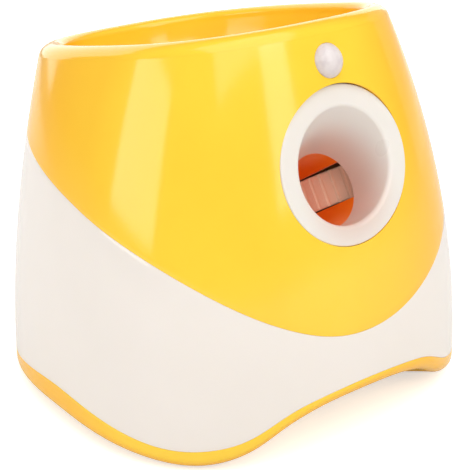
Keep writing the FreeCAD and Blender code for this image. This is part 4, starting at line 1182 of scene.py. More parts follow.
FINISHES = (
    # the yellow's edge colour is painted shade at glancing view
    MouldedPlastic(Slot.YELLOW, (0.96, 0.62, 0.042), (0.94, 0.585, 0.036), 0.13, 0.5, 0.15, 0.05, glow=0.08,
                   edge=(0.95, 0.49, 0.022)),
    MouldedPlastic(Slot.WHITE, (0.815, 0.755, 0.70), (0.80, 0.74, 0.68), 0.13, 0.5, 0.15, 0.08, glow=0.05),
    MouldedPlastic(Slot.RING, (0.79, 0.745, 0.69), (0.78, 0.73, 0.67), 0.28, 0.6, 0.1, 0.05, glow=0.08,
                   bounce=(0.67, 0.46, 0.385)),
    # the orange chamber has a painted glow
    MouldedPlastic(Slot.ORANGE, (0.95, 0.22, 0.012), (0.92, 0.17, 0.01), 0.3, 0.8, 0.2, 0.05, painted_glow=0.04),
    MouldedPlastic(Slot.BLACK, (0.02, 0.02, 0.022), (0.03, 0.03, 0.032), 0.42, 1.5, 0.4, 0.3, bump=0.15),
    MouldedPlastic(Slot.GREY, (0.11, 0.115, 0.12), (0.085, 0.09, 0.095), 0.45, 1.5, 0.4, 0.3, bump=0.15),
    MouldedPlastic(Slot.NYLON, (0.72, 0.68, 0.58), (0.66, 0.61, 0.50), 0.38, 1.0, 0.3, 0.2, bump=0.1),
    MouldedPlastic(Slot.CONE, (0.03, 0.028, 0.026), (0.045, 0.042, 0.04), 0.8, 2.0, 0.1, 0.5, bump=0.4),
    MouldedPlastic(Slot.CELL, (0.02, 0.035, 0.08), (0.016, 0.028, 0.065), 0.2, 0.4, 0.4, 0.1),
    MouldedPlastic(Slot.BUTTON, (0.50, 0.50, 0.51), (0.46, 0.46, 0.47), 0.36, 1.2, 0.2, 0.1, bump=0.1),
    # the tyre has a painted glow, its last number
    SoftRubber(Slot.TYRE, (0.86, 0.60, 0.43), (0.90, 0.68, 0.53), 0.62, 0.5, 0.15),
    SoftRubber(Slot.FOOT, (0.025, 0.025, 0.026), (0.08, 0.078, 0.075), 0.7, 0.5),
    WorkedMetal(Slot.STEEL, (0.55, 0.55, 0.56), (0.32, 0.28, 0.24), 0.3, 1.0),
    WorkedMetal(Slot.ZINC, (0.66, 0.67, 0.66), (0.45, 0.44, 0.40), 0.36, 0.5),
    WorkedMetal(Slot.BRASS, (0.62, 0.42, 0.15), (0.36, 0.2, 0.07), 0.28, 0.7),
    CircuitBoard(Slot.BOARD, (0.012, 0.12, 0.04), (0.04, 0.26, 0.10)),
    MilkyLens(Slot.LENS, (0.74, 0.665, 0.65), (0.66, 0.58, 0.58)),
    LightPipe(Slot.LIGHT, (0.75, 0.9, 0.82)),
)


@dataclass
class Paint:
    """All finishes, made once, by slot."""

    effects: Effects = field(default_factory=Effects)
    materials: dict[Slot, bpy.types.Material] = field(init=False)

    def __post_init__(self) -> None:
        """Builds every material."""
        self.materials = {finish.slot: finish.make(self.effects) for finish in FINISHES}

    def dress(self, piece: Piece, slot: Slot) -> None:
        """Gives a piece one finish and names its slot.

        Args:
            piece: The piece.
            slot: Its finish.
        """
        piece.data.materials.clear()
        piece.data.materials.append(self.materials[slot])


@dataclass
class Drive:
    """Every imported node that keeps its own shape."""

    paint: Paint

    def dress(self) -> None:
        """Gives each node the finish of its slot."""
        for part in frame["record"]["subparts"]:
            node = frame["nodes"][part["node"]]
            slot = Slot(part["material_slot"])
            for holder in node.material_slots:
                holder.material = self.paint.materials[slot]
        LOG.info("dressed %d nodes", len(frame["nodes"]))


# ------------------------------------------------------------------ shapes for shells
EDGE = 0.45
LAP_OUTER = 2.95
LAP_INNER = 4.45
LAP_RISE = 4.0
SKIN_WALL = 2.8
RIB_HALF = 1.2
RIB_INSET = 1.4
BOSS_INSET = 12.0
BOSS_RISE = 20.0
BOSS_RADIUS = 5.0
BOSS_SIDES = 40
SCREW_BORE = 1.5
SCREW_WAY = 1.85
SEAM_BOSS_TURNS = (75, 140, -75, -140)
BASE_BOSSES = ((121.0, -70.0), (-121.0, -70.0), (65.0, 122.0), (-65.0, 122.0))
LEG_SCREWS = ((88.5, -80.8), (-88.5, -80.8), (40.0, -38.87), (-40.0, -38.87))


def lower_edge(curve: HeightCurve) -> list[WallRow]:
    """Rounded lower edge of a shell, from its underside to the outer surface."""
    return [WallRow(seam(curve, EDGE * (1 - math.cos(t))), EDGE * (1 - math.sin(t))) for t in quarter(3)]


def upper_edge(curve: HeightCurve) -> list[WallRow]:
    """Rounded upper edge of a shell, from the outer surface to its top."""
    return [WallRow(seam(curve, -EDGE * (1 - math.sin(t))), EDGE * (1 - math.cos(t))) for t in quarter(3)]


def lap(curve: HeightCurve, foot: float) -> list[WallRow]:
    """Raised inner lip of a lap joint.

    Args:
        curve: Seam that the lip stands above.
        foot: Height of its inner foot against the seam.

    Returns:
        Four rows, from its outer foot over its top to its inner foot.
    """
    return [WallRow(seam(curve), LAP_OUTER), WallRow(seam(curve, LAP_RISE), LAP_OUTER),
            WallRow(seam(curve, LAP_RISE), LAP_INNER), WallRow(seam(curve, foot), LAP_INNER)]


def upright(low: HeightRule, high: HeightRule, inset: float, steps: int, ends: bool = False) -> list[WallRow]:
    """Rows of a wall between two heights.

    Args:
        low: Height of the first row.
        high: Height of the last row.
        inset: Depth below the outer surface in millimetres.
        steps: Number of quads in height.
        ends: Whether the first and last rows belong to the result.

    Returns:
        The rows.
    """
    first, last = (0, steps + 1) if ends else (1, steps)
    return [WallRow(mixed(low, high, k / steps), inset) for k in range(first, last)]


def rod(name: str, radius: float, low: float, high: float, x: float, y: float, sides: int = 40) -> Piece:
    """Upright closed rod.

    Args:
        name: Name of the piece.
        radius: Radius in millimetres.
        low: Height of its lower end.
        high: Height of its upper end.
        x: Place across.
        y: Place along, measured from the drop axis.
        sides: Points round it.

    Returns:
        The new piece.
    """
    return turned_solid(name, [(radius, low), (radius, high)], None, sides, x, y)


def rods(name: str, radius: float, low: float, high: float, places: Sequence[tuple[float, float]],
         trees: Trees) -> Piece:
    """Equal upright rods as one piece.

    Args:
        name: Name of the piece.
        radius: Radius in millimetres.
        low: Height of their lower ends.
        high: Height of their upper ends.
        places: Places measured from the drop axis.
        trees: The trees.

    Returns:
        The new piece.
    """
    shape = rod("one_rod", radius, 0.0, high - low, 0.0, RULE.middle_y, 28)
    return scattered(name, shape, [(x, y - RULE.middle_y, low) for x, y in places], trees)


def rounded_slab(name: str, half_x: float, half_z: float, z: float, corner: float, y0: float, y1: float) -> Piece:
    """Slab across Y with rounded corners.

    Args:
        name: Name of the piece.
        half_x: Half its width.
        half_z: Half its height.
        z: Height of its centre.
        corner: Radius of its corners.
        y0: Where it starts, measured from the drop axis.
        y1: Where it ends.

    Returns:
        The new piece.
    """
    outline = []
    for sx, sz, start in ((1, 1, 0), (-1, 1, 90), (-1, -1, 180), (1, -1, 270)):
        for t in (math.radians(start) + q for q in quarter(8)):
            outline.append((sx * (half_x - corner) + corner * math.cos(t),
                            z + sz * (half_z - corner) + corner * math.sin(t)))
    rows = [np.array([(x, y - RULE.middle_y, h) for x, h in outline]) for y in (y0, y1)]
    return skin(name, rows, ring=False)


def wall_place(turn: float, z: float, inset: float) -> tuple[float, float]:
    """Place of a point on the wall, measured from the drop axis."""
    far = float(RULE.radius(np.array(turn), np.array(z), np.array(inset)))
    return far * math.sin(turn), -far * math.cos(turn)


def seam_bosses() -> list[tuple[float, float, float]]:
    """Places of the colour seam's screw bosses.

    Returns:
        Across, along from the drop axis, and the seam's height there.
    """
    places = []
    for turn in map(math.radians, SEAM_BOSS_TURNS):
        z = float(RULE.colour_seam.at(np.array(turn)))
        places.append((*wall_place(turn, z + BOSS_RISE, BOSS_INSET), z))
    return places


def boss(x: float, y: float, foot: float, top: float, bore_end: float) -> Piece:
    """Screw boss with a chamfered foot and a blind bore from below or above.

    Args:
        x: Place across.
        y: Place along, measured from the drop axis.
        foot: Height of the end with the bore.
        top: Height of the closed end.
        bore_end: Height of the bore's end.

    Returns:
        The new piece.
    """
    profile = [(SCREW_BORE, bore_end), (SCREW_BORE, foot), (BOSS_RADIUS - 0.4, foot), (BOSS_RADIUS, foot + 0.4),
               (BOSS_RADIUS, top)]
    return turned_solid("boss", profile, None, BOSS_SIDES, x, y)


def rib(x: float, y: float, low: float, high: float) -> Piece:
    """Flat rib from a boss out to the wall, drawn away from the drop axis.

    Args:
        x: The boss's place across.
        y: The boss's place along, measured from the drop axis.
        low: Height of the rib's lower edge.
        high: Height of its upper edge, where it meets the wall.

    Returns:
        The new piece.
    """
    turn = math.atan2(x, -y)
    reach = math.hypot(*wall_place(turn, high, RIB_INSET)) - math.hypot(x, y)
    piece = block("rib", (-RIB_HALF, -reach, low), (RIB_HALF, 0.0, high))
    place = Matrix.Translation((x * MM, (y - RULE.middle_y) * MM, 0))
    piece.data.transform(place @ Matrix.Rotation(turn, 4, "Z"))
    return piece


def joined(name: str, pieces: Sequence[Piece]) -> Piece:
    """Several pieces as one mesh; the single pieces are removed.

    Args:
        name: Name of the new piece.
        pieces: The single pieces.

    Returns:
        The new piece.
    """
    shape = bmesh.new()
    for piece in pieces:
        shape.from_mesh(piece.data)
        bpy.data.objects.remove(piece)
    whole = piece_of(name, shape)
    tidy_mesh(whole)
    return whole


@dataclass
class Assembly:
    """Sub-assembly that builds its pieces, finishes them and sets them on their bodies."""

    paint: Paint
    trees: Trees

    def fit(self, piece: Piece, slot: Slot, *nodes: str, body: Body = Body.HOUSING) -> Piece:
        """Finishes a piece and sets it on its body.

        Args:
            piece: The piece, in place.
            slot: Its finish.
            *nodes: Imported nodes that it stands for.
            body: The body that it rides on.

        Returns:
            The piece.
        """
        self.paint.dress(piece, slot)
        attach(piece, body.value)
        if nodes:
            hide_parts(*nodes)
        return piece


# ------------------------------------------------------------------ shells
@dataclass
class UpperShell(Assembly):
    """Yellow upper shell with the ring's and the sensor's openings."""

    lip_seat: float = 8.0
    ring_hole: float = 53.82
    lens_hole: float = 11.65

    def build(self) -> list[Piece]:
        """Makes the shell with its bosses and openings.

        Returns:
            The pieces.
        """
        curve, seat = RULE.colour_seam, rim(self.lip_seat)
        rows = lower_edge(curve)
        rows += upright(seam(curve, EDGE), seat, 0.0, 36) + [WallRow(seat)]
        rows += upright(seat, seam(curve), SKIN_WALL, 12, ends=True)
        shell = wall_piece("upper_shell_skin", rows, self.trees.wall)
        cut(shell, [turned_solid("ring_hole", [(self.ring_hole, -60), (self.ring_hole, 30)], RING, 180),
                    turned_solid("lens_hole", [(self.lens_hole, -20), (self.lens_hole, 20)], LENS, 72)])
        return [self.fit(shell, Slot.YELLOW, "upper_shell"), self.fit(self.bosses(), Slot.YELLOW)]

    def bosses(self) -> Piece:
        """Screw bosses with their ribs, as one piece.

        Returns:
            The piece.
        """
        made = []
        for x, y, z in seam_bosses():
            made += [boss(x, y, z - 1, z + BOSS_RISE, z + 10), rib(x, y, z + 5.5, z + BOSS_RISE)]
        return joined("upper_shell_bosses", made)


@dataclass
class LowerShell(Assembly):
    """Off-white lower shell with the lapped top edge, the rear panel's opening and the socket's bore."""

    jack: float = 5.75
    jack_z: float = 60.0
    panel_z: float = 118.0
    panel: tuple[float, float, float] = (42.15, 20.15, 10.15)

    def build(self) -> list[Piece]:
        """Makes the shell with its openings and bosses.

        Returns:
            The pieces.
        """
        low, high = RULE.base_seam, RULE.colour_seam
        rows = lower_edge(low)
        rows += upright(seam(low, EDGE), seam(high, -EDGE), 0.0, 44)
        rows += upper_edge(high) + lap(high, -2 * LAP_RISE)
        rows += upright(seam(high, -3 * LAP_RISE), seam(low), SKIN_WALL, 16, ends=True)
        shell = wall_piece("lower_shell_skin", rows, self.trees.wall)
        half_x, half_z, corner = self.panel
        jack_axis = Lean(0.0, self.jack_z, 0.0)
        cut(shell, [rounded_slab("panel_hole", half_x, half_z, self.panel_z, corner, 144.0, 176.0),
                    turned_solid("jack_hole", [(self.jack, 136), (self.jack, 176)], jack_axis, 48)])
        return [self.fit(shell, Slot.WHITE, "lower_shell"), self.fit(self.bosses(), Slot.WHITE)]

    def bosses(self) -> Piece:
        """Ears under the colour seam and posts on the base, with their ribs, as one piece.

        Returns:
            The piece.
        """
        made = []
        for x, y, z in seam_bosses():
            profile = ((SCREW_WAY, z - 6), (BOSS_RADIUS, z - 6), (BOSS_RADIUS, z - 1), (SCREW_WAY, z - 1))
            made.append(skin("ear", [circle(r, d, None, BOSS_SIDES) + (x, y, 0) for r, d in profile]))
            bar = rib(x, y, z - 18, z - 1)
            made.append(bar)
            cut(bar, [rod("screw_way", 4.0, z - 20, z, x, y)])
        for x, y in BASE_BOSSES:
            made += [boss(x, y, 11.0, 56.0, 50.0), rib(x, y, 40.0, 56.0)]
        return joined("lower_shell_bosses", made)


@dataclass
class BasePan(Assembly):
    """Yellow base with the rolled lower edge, front arch, battery bay, foot pockets and speaker grille."""

    edge_round: float = 9.0
    floor: float = 8.0
    floor_wall: float = 3.0
    bay: tuple[float, float, float, float] = (-111.7, -56.3, -68.2, 84.2)
    foot_turns: tuple[float, ...] = (47, 133, -47, -133)
    foot_inset: float = 24.0
    pad: float = 11.0
    pad_z: float = 2.5
    pocket: float = 8.65
    pocket_top: float = 4.0
    posts: tuple[tuple[float, float], ...] = ((67, -40), (67, 30), (123, -40), (123, 30))
    post: float = 3.5
    post_bore: float = 1.2
    post_rise: float = 8.0
    screw_seat: float = 3.5
    seat_rise: float = 1.2
    speaker: tuple[float, float] = (92.0, 66.0)
    grille_hole: float = 1.9
    grille_rings: tuple[tuple[int, float], ...] = ((6, 6.0), (12, 12.0))

    def build(self) -> list[Piece]:
        """Makes the pan.

        Returns:
            The pieces.
        """
        top = self.floor + self.floor_wall
        pan = wall_piece("base_pan_skin", self.rows(), self.trees.wall, ring=False)
        feet = [wall_place(math.radians(a), 0.0, self.foot_inset) for a in self.foot_turns]
        cut(pan, [rods("foot_pads", self.pad, self.pad_z, top - 0.5, feet, self.trees),
                  rods("board_posts", self.post, top - 1, top + self.post_rise, self.posts, self.trees)], union=True)
        x0, x1, y0, y1 = self.bay
        screws = BASE_BOSSES + LEG_SCREWS
        bay = block("bay_hole", (x0, y0 - RULE.middle_y, -1), (x1, y1 - RULE.middle_y, top + 5))
        cut(pan, [bay, rods("foot_pockets", self.pocket, -1, self.pocket_top, feet, self.trees),
                  rods("post_bores", self.post_bore, top + 2, top + 10, self.posts, self.trees),
                  rods("screw_ways", SCREW_WAY, 0, top + 5, screws, self.trees),
                  rods("screw_seats", self.screw_seat, 0, self.floor + self.seat_rise, screws, self.trees),
                  rods("grille", self.grille_hole, 0, top + 5, self.grille(), self.trees)])
        return [self.fit(pan, Slot.YELLOW, "base_pan")]

    def rows(self) -> list[WallRow]:
        """Rows from the underside round the edge to the floor's top.

        Returns:
            The rows.
        """
        edge, low, r = RULE.base_seam, RULE.base_edge, self.edge_round
        rows = [WallRow(level(self.floor), self.floor_start)]
        rows += [WallRow(seam(low, r * (1 - math.cos(t))), r * (1 - math.sin(t))) for t in quarter(10)]
        rows += upright(seam(low, r), seam(edge, -EDGE), 0.0, 3)
        rows += upper_edge(edge) + lap(edge, -1.2) + [WallRow(seam(low, self.floor_wall), r)]
        return rows + [WallRow(level(self.floor + self.floor_wall), self.floor_start)]

    @staticmethod
    def floor_start(turn: Array) -> Array:
        """How far in the flat floor starts; further behind the front arch."""
        return 16.0 + 44.0 * np.cos(turn / 2) ** 8

    def grille(self) -> list[tuple[float, float]]:
        """Holes under the speaker: one in the middle and two rings.

        Returns:
            Places measured from the drop axis.
        """
        x, y = self.speaker
        places = [(x, y)]
        for count, reach in self.grille_rings:
            places += [(x + reach * math.cos(t), y + reach * math.sin(t)) for t in turns(count)]
        return places


@dataclass
class HopperBowl(Assembly):
    """Yellow hopper: rounded rim crest, deep bowl and the land round the drop hole."""

    lip_width: float = 16.0
    lip_round: float = 8.0
    lip_height: float = 8.0
    inner_round: float = 6.0
    hollow: tuple[float, float] = (10.5, 4.4)
    wall: float = 2.6
    hole: float = 29.5
    hole_round: float = 1.0
    land: float = 37.5
    floor: float = 180.0
    profile: tuple[tuple[float, float], ...] = (
        (0.025, 0.2), (0.07, 0.4), (0.15, 0.57), (0.28, 0.715), (0.45, 0.84), (0.63, 0.925), (0.82, 0.97),
        (1.0, 1.0))

    def build(self) -> list[Piece]:
        """Makes the bowl."""
        rows = self.lip() + self.bowl() + self.drop_hole() + self.under()
        return [self.fit(skin("hopper_bowl_skin", rows), Slot.YELLOW, "hopper_bowl")]

    def wall_row(self, inset: float, drop: float) -> Row:
        """Row on the body's wall below the rim plane.

        Args:
            inset: Depth below the outer surface in millimetres.
            drop: Distance below the rim plane in millimetres.

        Returns:
            Points in millimetres.
        """
        turn = turns(WALL_COLUMNS)
        depth = np.full_like(turn, inset)
        return RULE.point(turn, RULE.rim(turn, depth, drop), depth)

    def bowl_row(self, share: float, depth: float, offset: float = 0.0, drop: float = 0.0) -> Row:
        """Row between the lip's inner edge and the land round the hole.

        Args:
            share: 0 at the lip, 1 at the land, in plan.
            depth: The same in height.
            offset: Added to the lip's width in millimetres.
            drop: Distance below the bowl's face in millimetres.

        Returns:
            Points in millimetres.
        """
        top = self.wall_row(self.lip_width + offset, self.inner_round)
        row = top * (1 - share) + circle(self.land, self.floor, None, WALL_COLUMNS) * share
        row[:, 2] = top[:, 2] * (1 - depth) + self.floor * depth - drop
        return row

    def lip(self) -> list[Row]:
        """Rows from the lower outer edge over the crest to the inner edge.

        Returns:
            Rows in millimetres.
        """
        rows = [self.wall_row(0.0, self.lip_height)]
        for t in np.radians([5 + 85 * k / 12 for k in range(1, 13)]):
            rows.append(self.wall_row(self.lip_round * (1 - math.cos(t)), self.lip_height * (1 - math.sin(t))))
        width = self.lip_width - self.lip_round
        for t in quarter(7)[1:]:
            inset = self.lip_round + width * math.sin(t)
            rows.append(self.wall_row(inset, self.inner_round * (1 - math.cos(t))))
        return rows

    def bowl(self) -> list[Row]:
        """Fine rows of the bowl's face."""
        knots = [self.bowl_row(s, d) for s, d in ((0.0, 0.0), *self.profile)]
        return self.fine(knots, 44)[1:]

    def fine(self, knots: list[Row], count: int) -> list[Row]:
        """Smooth rows through a few given ones, closer together where the bowl bends.

        Args:
            knots: Rows to go through.
            count: Number of rows to make.

        Returns:
            The rows.
        """
        points = np.array(knots)
        spans = np.linalg.norm(np.diff(points, axis=0), axis=2).mean(axis=1)
        at = np.concatenate([[0.0], np.cumsum(spans)])
        return list(spline_through(at, points, np.linspace(0.0, at[-1], count)))

    def drop_hole(self) -> list[Row]:
        """Rows from the land through the hole.

        Returns:
            Rows in millimetres.
        """
        r = self.hole_round
        places = [(self.hole + r * (1 - math.sin(t)), self.floor - r * (1 - math.cos(t)))
                  for t in (0.0, 0.52, 1.05, 1.5708)]
        return [circle(*place, None, WALL_COLUMNS) for place in (*places, (self.hole, self.floor - self.wall))]

    def under(self) -> list[Row]:
        """Rows of the hidden face and of the tongue inside the upper shell.

        Returns:
            Rows in millimetres.
        """
        knots = [self.bowl_row(0.0, 0.1, -self.wall)]
        knots += [self.bowl_row(s, d, -self.wall, self.wall * min(1.0, 3 * s)) for s, d in self.profile]
        tuck = self.lip_height + LAP_RISE
        tongue = ((LAP_INNER, self.hollow[1]), (LAP_INNER, tuck), (LAP_OUTER, tuck), (LAP_OUTER, self.lip_height))
        return self.fine(knots, 24)[::-1] + [self.wall_row(*place) for place in (self.hollow, *tongue)]


@dataclass
class LaunchNozzle(Assembly):
    """White launch ring whose rolled mouth runs down the funnel to the bore's flange."""

    ring: float = 53.7
    plate: float = 2.8
    skirt: float = 9.0
    skirt_wall: float = 2.2
    mouth: float = 39.5
    mouth_round: float = 3.6
    rim_round: float = 1.0
    face: float = 49.0
    funnel_wall: float = 2.5
    bore: float = 26.4
    end: float = -51.0
    flange: float = 38.4
    flange_flat: float = 31.4
    flange_wall: float = 2.5
    screw_reach: float = 34.7
    columns: int = 192

    def build(self) -> list[Piece]:
        """Makes the ring, funnel and flange as one closed piece.

        Returns:
            The pieces.
        """
        inner_end = circle(self.bore, self.end, LAUNCH, self.columns)
        outer_end = circle(self.bore + self.funnel_wall, self.end, LAUNCH, self.columns)
        outer_mouth = circle(self.mouth + self.funnel_wall, 0.0, RING, self.columns)
        roll = self.rolled_mouth(inner_end)
        rows = [roll[-1] * (1 - k / 10) + inner_end * k / 10 for k in range(1, 11)]
        rows += [self.flange_row(self.end), self.flange_row(self.end - self.flange_wall)]
        rows += [outer_mouth * (1 - s) + outer_end * s for s in (0.92, 0.7, 0.5, 0.3, 0.105)]
        rows += [circle(r, d, RING, self.columns) for r, d in self.plate_profile()]
        nozzle = skin("launch_nozzle_skin", rows + roll)
        cut(nozzle, [self.screw_way(math.radians(a)) for a in (45, 135, 225, 315)])
        return [self.fit(nozzle, Slot.RING, "launch_nozzle")]

    def rolled_mouth(self, end: Row) -> list[Row]:
        """Rows of the rounded mouth, tangent to the plate's face and to the funnel.

        Args:
            end: Ring of points where the funnel ends.

        Returns:
            Rows from the plate to the funnel.
        """
        edge = circle(self.mouth, 0.0, RING, self.columns)
        out = circle(self.mouth + 1.0, 0.0, RING, self.columns) - edge
        inward = end - edge
        inward /= np.linalg.norm(inward, axis=1, keepdims=True)
        half = np.arccos(np.sum(out * inward, axis=1)) / 2
        reach = (self.mouth_round / np.tan(half))[:, None]
        weight = np.sin(half)[:, None]
        first, last = edge + out * reach, edge + inward * reach
        rows = []
        for u in np.linspace(0.0, 1.0, 10):
            a, b, c = (1 - u) ** 2, 2 * u * (1 - u) * weight, u * u
            rows.append((first * a + edge * b + last * c) / (a + b + c))
        return rows

    def plate_profile(self) -> list[tuple[float, float]]:
        """Places (radius, depth) from the plate's back round the skirt and the rim to its face.

        Returns:
            The places in millimetres.
        """
        inner, r = self.ring - self.skirt_wall, self.rim_round
        places = [(inner, self.plate), (inner, self.skirt), (self.ring, self.skirt)]
        places += [(self.ring - r * (1 - math.cos(t)), r * (1 - math.sin(t))) for t in quarter(5)]
        return places + [(self.face, 0.0)]

    def flange_row(self, depth: float) -> Row:
        """Round flange, flattened above and below.

        Args:
            depth: Place along the bore's axis in millimetres.

        Returns:
            Points in millimetres.
        """
        turn = turns(self.columns)
        flat = np.clip(self.flange * np.cos(turn), -self.flange_flat, self.flange_flat)
        return LAUNCH.place(np.stack([self.flange * np.sin(turn), np.full_like(turn, depth), flat], -1))

    def screw_way(self, angle: float) -> Piece:
        """Cutter for one screw of the flange, at an angle round the bore.

        Args:
            angle: Angle in radians.

        Returns:
            The cutter.
        """
        turn = turns(24)
        x = self.screw_reach * math.cos(angle) + SCREW_WAY * np.sin(turn)
        n = self.screw_reach * math.sin(angle) + SCREW_WAY * np.cos(turn)
        rows = [LAUNCH.place(np.stack([x, np.full_like(turn, d), n], -1)) for d in (self.end - 3.0, self.end + 0.5)]
        return skin("screw_way", rows, ring=False)


@dataclass
class MotionSensor(Assembly):
    """Milky domed lens of the motion sensor."""

    radius: float = 11.5
    height: float = 7.0
    wall: float = 1.1
    neck: tuple[float, float] = (3.2, 4.4)
    tip: float = 0.004

    def build(self) -> list[Piece]:
        """Makes the lens.

        Returns:
            The pieces.
        """
        sphere = (self.radius ** 2 + self.height ** 2) / (2 * self.height)
        low = sphere - self.wall
        wide, narrow = self.radius + self.wall, self.radius - self.wall
        outer = self.arc(sphere, sphere, self.tip, math.asin(self.radius / sphere), 26)
        inner = self.arc(low, sphere, math.asin(narrow / low), self.tip, 20)
        start, end = self.neck
        collar = [(self.radius, start), (wide, start), (wide, end), (narrow, end)]
        lens = turned_solid("pir_lens_skin", outer + collar + inner, LENS, 72)
        return [self.fit(lens, Slot.LENS, "pir_lens")]

    def arc(self, radius: float, sphere: float, start: float, end: float, count: int) -> list[tuple[float, float]]:
        """Places on a dome.

        Args:
            radius: Radius of the face.
            sphere: Radius of the outer face, whose centre both faces share.
            start: First angle from the tip in radians.
            end: Last angle.
            count: Number of places.

        Returns:
            Places as (radius, depth) in millimetres.
        """
        centre = sphere - self.height
        return [(radius * math.sin(t), centre - radius * math.cos(t)) for t in np.linspace(start, end, count)]


@dataclass
class RearPanel(Assembly):
    """Raised plain signs on the rear buttons: an on-off mark, and three bows for the throwing distance."""

    face: float = 157.6
    height: float = 0.25
    sunk: float = 0.05
    power_x: float = -22.0
    distance_x: float = 22.0
    z: float = 118.0

    def build(self) -> list[Piece]:
        """Makes the signs.

        Returns:
            The pieces.
        """
        power = joined("power_sign", [self.bow(self.power_x, 0.0, 2.6, 35.0, 325.0, 0.7), self.bar(self.power_x)])
        bows = [self.bow(self.distance_x, -2.6, r, -38.0, 38.0, 0.6) for r in (1.7, 3.3, 4.9)]
        return [self.fit(power, Slot.WHITE, body=Body.POWER_BUTTON),
                self.fit(joined("distance_sign", bows), Slot.WHITE, body=Body.DISTANCE_BUTTON)]

    def bow(self, x: float, lift: float, radius: float, start: float, end: float, width: float) -> Piece:
        """Part of a flat ring on a button.

        Args:
            x: Place of its centre across.
            lift: Height of its centre above the button's.
            radius: Middle radius in millimetres.
            start: First angle in degrees from the top.
            end: Last angle.
            width: Width of the bow.

        Returns:
            The piece.
        """
        rows = []
        y, inner, outer = self.face - RULE.middle_y, radius - width / 2, radius + width / 2
        for angle in np.radians(np.linspace(start, end, 40)):
            s, c = math.sin(angle), math.cos(angle)
            rows.append(np.array([(x + r * s, y + d, self.z + r * c + lift) for r, d in (
                (inner, -self.sunk), (outer, -self.sunk), (outer, self.height), (inner, self.height))]))
        return skin("bow", rows, ring=False)

    def bar(self, x: float) -> Piece:
        """Upright stroke of the on-off mark."""
        y = self.face - RULE.middle_y
        return block("bar", (x - 0.35, y - self.sunk, self.z + 0.6), (x + 0.35, y + self.height, self.z + 3.6))


# ------------------------------------------------------------------ stage
@dataclass(frozen=True)
class SoftBox:
    """Rectangular studio lamp that faces the object: degrees, metres and brightness."""

    name: str
    heading: float
    rise: float
    distance: float
    width: float
    height: float
    glow: float

    def build(self, target: Vector) -> None:
        """Adds the lamp, facing a point.

        Args:
            target: Point that it faces.
        """
        data = bpy.data.lights.new(self.name, "AREA")
        data.shape = "RECTANGLE"
        data.size, data.size_y = self.width, self.height
        data.energy = self.glow * math.pi * self.width * self.height
        lamp = bpy.data.objects.new(self.name, data)
        turn, lift = math.radians(self.heading), math.radians(self.rise)
        away = Vector((math.sin(turn) * math.cos(lift), -math.cos(turn) * math.cos(lift), math.sin(lift)))
        lamp.location = target + away * self.distance
        lamp.rotation_euler = away.to_track_quat("Z", "Y").to_euler()
        bpy.context.scene.collection.objects.link(lamp)


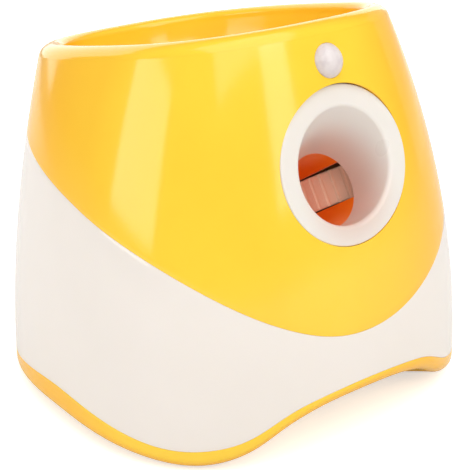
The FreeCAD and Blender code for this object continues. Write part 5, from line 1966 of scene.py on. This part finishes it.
@dataclass(frozen=True)
class Stage:
    """Pale floor, world light, lamps and the camera."""

    eye: tuple[float, float, float] = (-0.5496, -0.7103, 0.4922)
    heading: float = -37.891
    pitch: float = 66.436
    focal: float = 99.574
    sensor: float = 36.0
    clip: tuple[float, float] = (0.05, 20.0)
    aim: tuple[float, float, float] = (0.0, 0.0, 0.15)
    white: Colour = (1.0, 1.0, 1.0)
    daylight: Colour = (1.0, 0.99, 0.975)
    ambient: float = 0.5
    mirrored: float = 0.25
    floor_reach: float = 6.0
    floor_z: float = -0.0002
    floor_tints: tuple[Colour, Colour] = ((0.84, 0.835, 0.825), (0.80, 0.795, 0.785))
    floor_glow: float = 0.55
    lamps: tuple[SoftBox, ...] = (
        SoftBox("left_softbox", -100.0, 14.0, 1.3, 0.85, 0.6, 2.8),
        SoftBox("front_softbox", 12.0, 20.0, 1.3, 0.38, 0.62, 3.0),
        SoftBox("right_card", 100.0, 8.0, 1.3, 1.1, 1.1, 0.38),
        SoftBox("top_softbox", -5.0, 60.0, 1.4, 1.6, 1.6, 1.9),
        SoftBox("rear_softbox", 160.0, 22.0, 1.4, 2.4, 1.2, 1.5),
    )

    def build(self) -> None:
        """Sets the stage up."""
        bpy.context.scene.view_settings.view_transform = "Standard"
        self.build_camera()
        self.build_world()
        self.build_floor()
        for lamp in self.lamps:
            lamp.build(Vector(self.aim))

    def build_camera(self) -> None:
        """Adds the camera."""
        data = bpy.data.cameras.new("camera")
        data.sensor_width = self.sensor
        data.lens = self.focal
        data.clip_start, data.clip_end = self.clip
        camera = bpy.data.objects.new("camera", data)
        camera.location = self.eye
        camera.rotation_euler = (math.radians(self.pitch), 0.0, math.radians(self.heading))
        bpy.context.scene.collection.objects.link(camera)
        bpy.context.scene.camera = camera

    def build_world(self) -> None:
        """Lights the scene evenly and shows a white background; mirrored light is dimmer."""
        world = bpy.data.worlds.new("studio")
        world.use_nodes = True
        w = Wiring(world.node_tree)
        w.tree.nodes.clear()
        glossy = w.node("ShaderNodeLightPath").outputs["Is Glossy Ray"]
        strength = w.node("ShaderNodeMapRange", {"Value": glossy, "To Min": self.ambient, "To Max": self.mirrored})
        light = w.node("ShaderNodeBackground", {"Color": self.daylight, "Strength": strength.outputs[0]})
        shown = w.node("ShaderNodeBackground", {"Color": self.white})
        mix = w.node("ShaderNodeMixShader", {0: w.seen(), 1: light.outputs[0], 2: shown.outputs[0]})
        w.node("ShaderNodeOutputWorld", {"Surface": mix.outputs[0]})
        bpy.context.scene.world = world

    def build_floor(self) -> None:
        """Adds a round pale floor that keeps the object's shadow."""
        shape = bmesh.new()
        bmesh.ops.create_circle(shape, cap_ends=True, segments=96, radius=self.floor_reach,
                                matrix=Matrix.Translation((0, 0, self.floor_z)))
        floor = piece_of("floor", shape)
        s = Surface("pale_floor")
        tint = s.blend(s.noise(s.place(), 3.0, 2.0), *self.floor_tints)
        s.shade({"Base Color": tint, "Roughness": 0.9, "Specular IOR Level": 0.0})
        glow = s.node("ShaderNodeEmission", {"Strength": s.product(s.seen(), self.floor_glow)})
        both = s.node("ShaderNodeAddShader", {0: s.shader.outputs[0], 1: glow.outputs[0]})
        s.feed(both.outputs[0], s.tree.nodes["Material Output"].inputs["Surface"])
        floor.data.materials.append(s.material)


def main() -> None:
    """Builds every piece in order and reports it."""
    logging.basicConfig(level=logging.INFO, format="%(name)s: %(message)s")
    paint = Paint()
    trees = Trees()
    Drive(paint).dress()
    for assembly in (UpperShell, LowerShell, BasePan, HopperBowl, LaunchNozzle, MotionSensor, RearPanel):
        pieces = assembly(paint, trees).build()
        LOG.info("built %s", ", ".join(piece.name for piece in pieces))
    Stage().build()


if __name__ == "__main__":
    main()
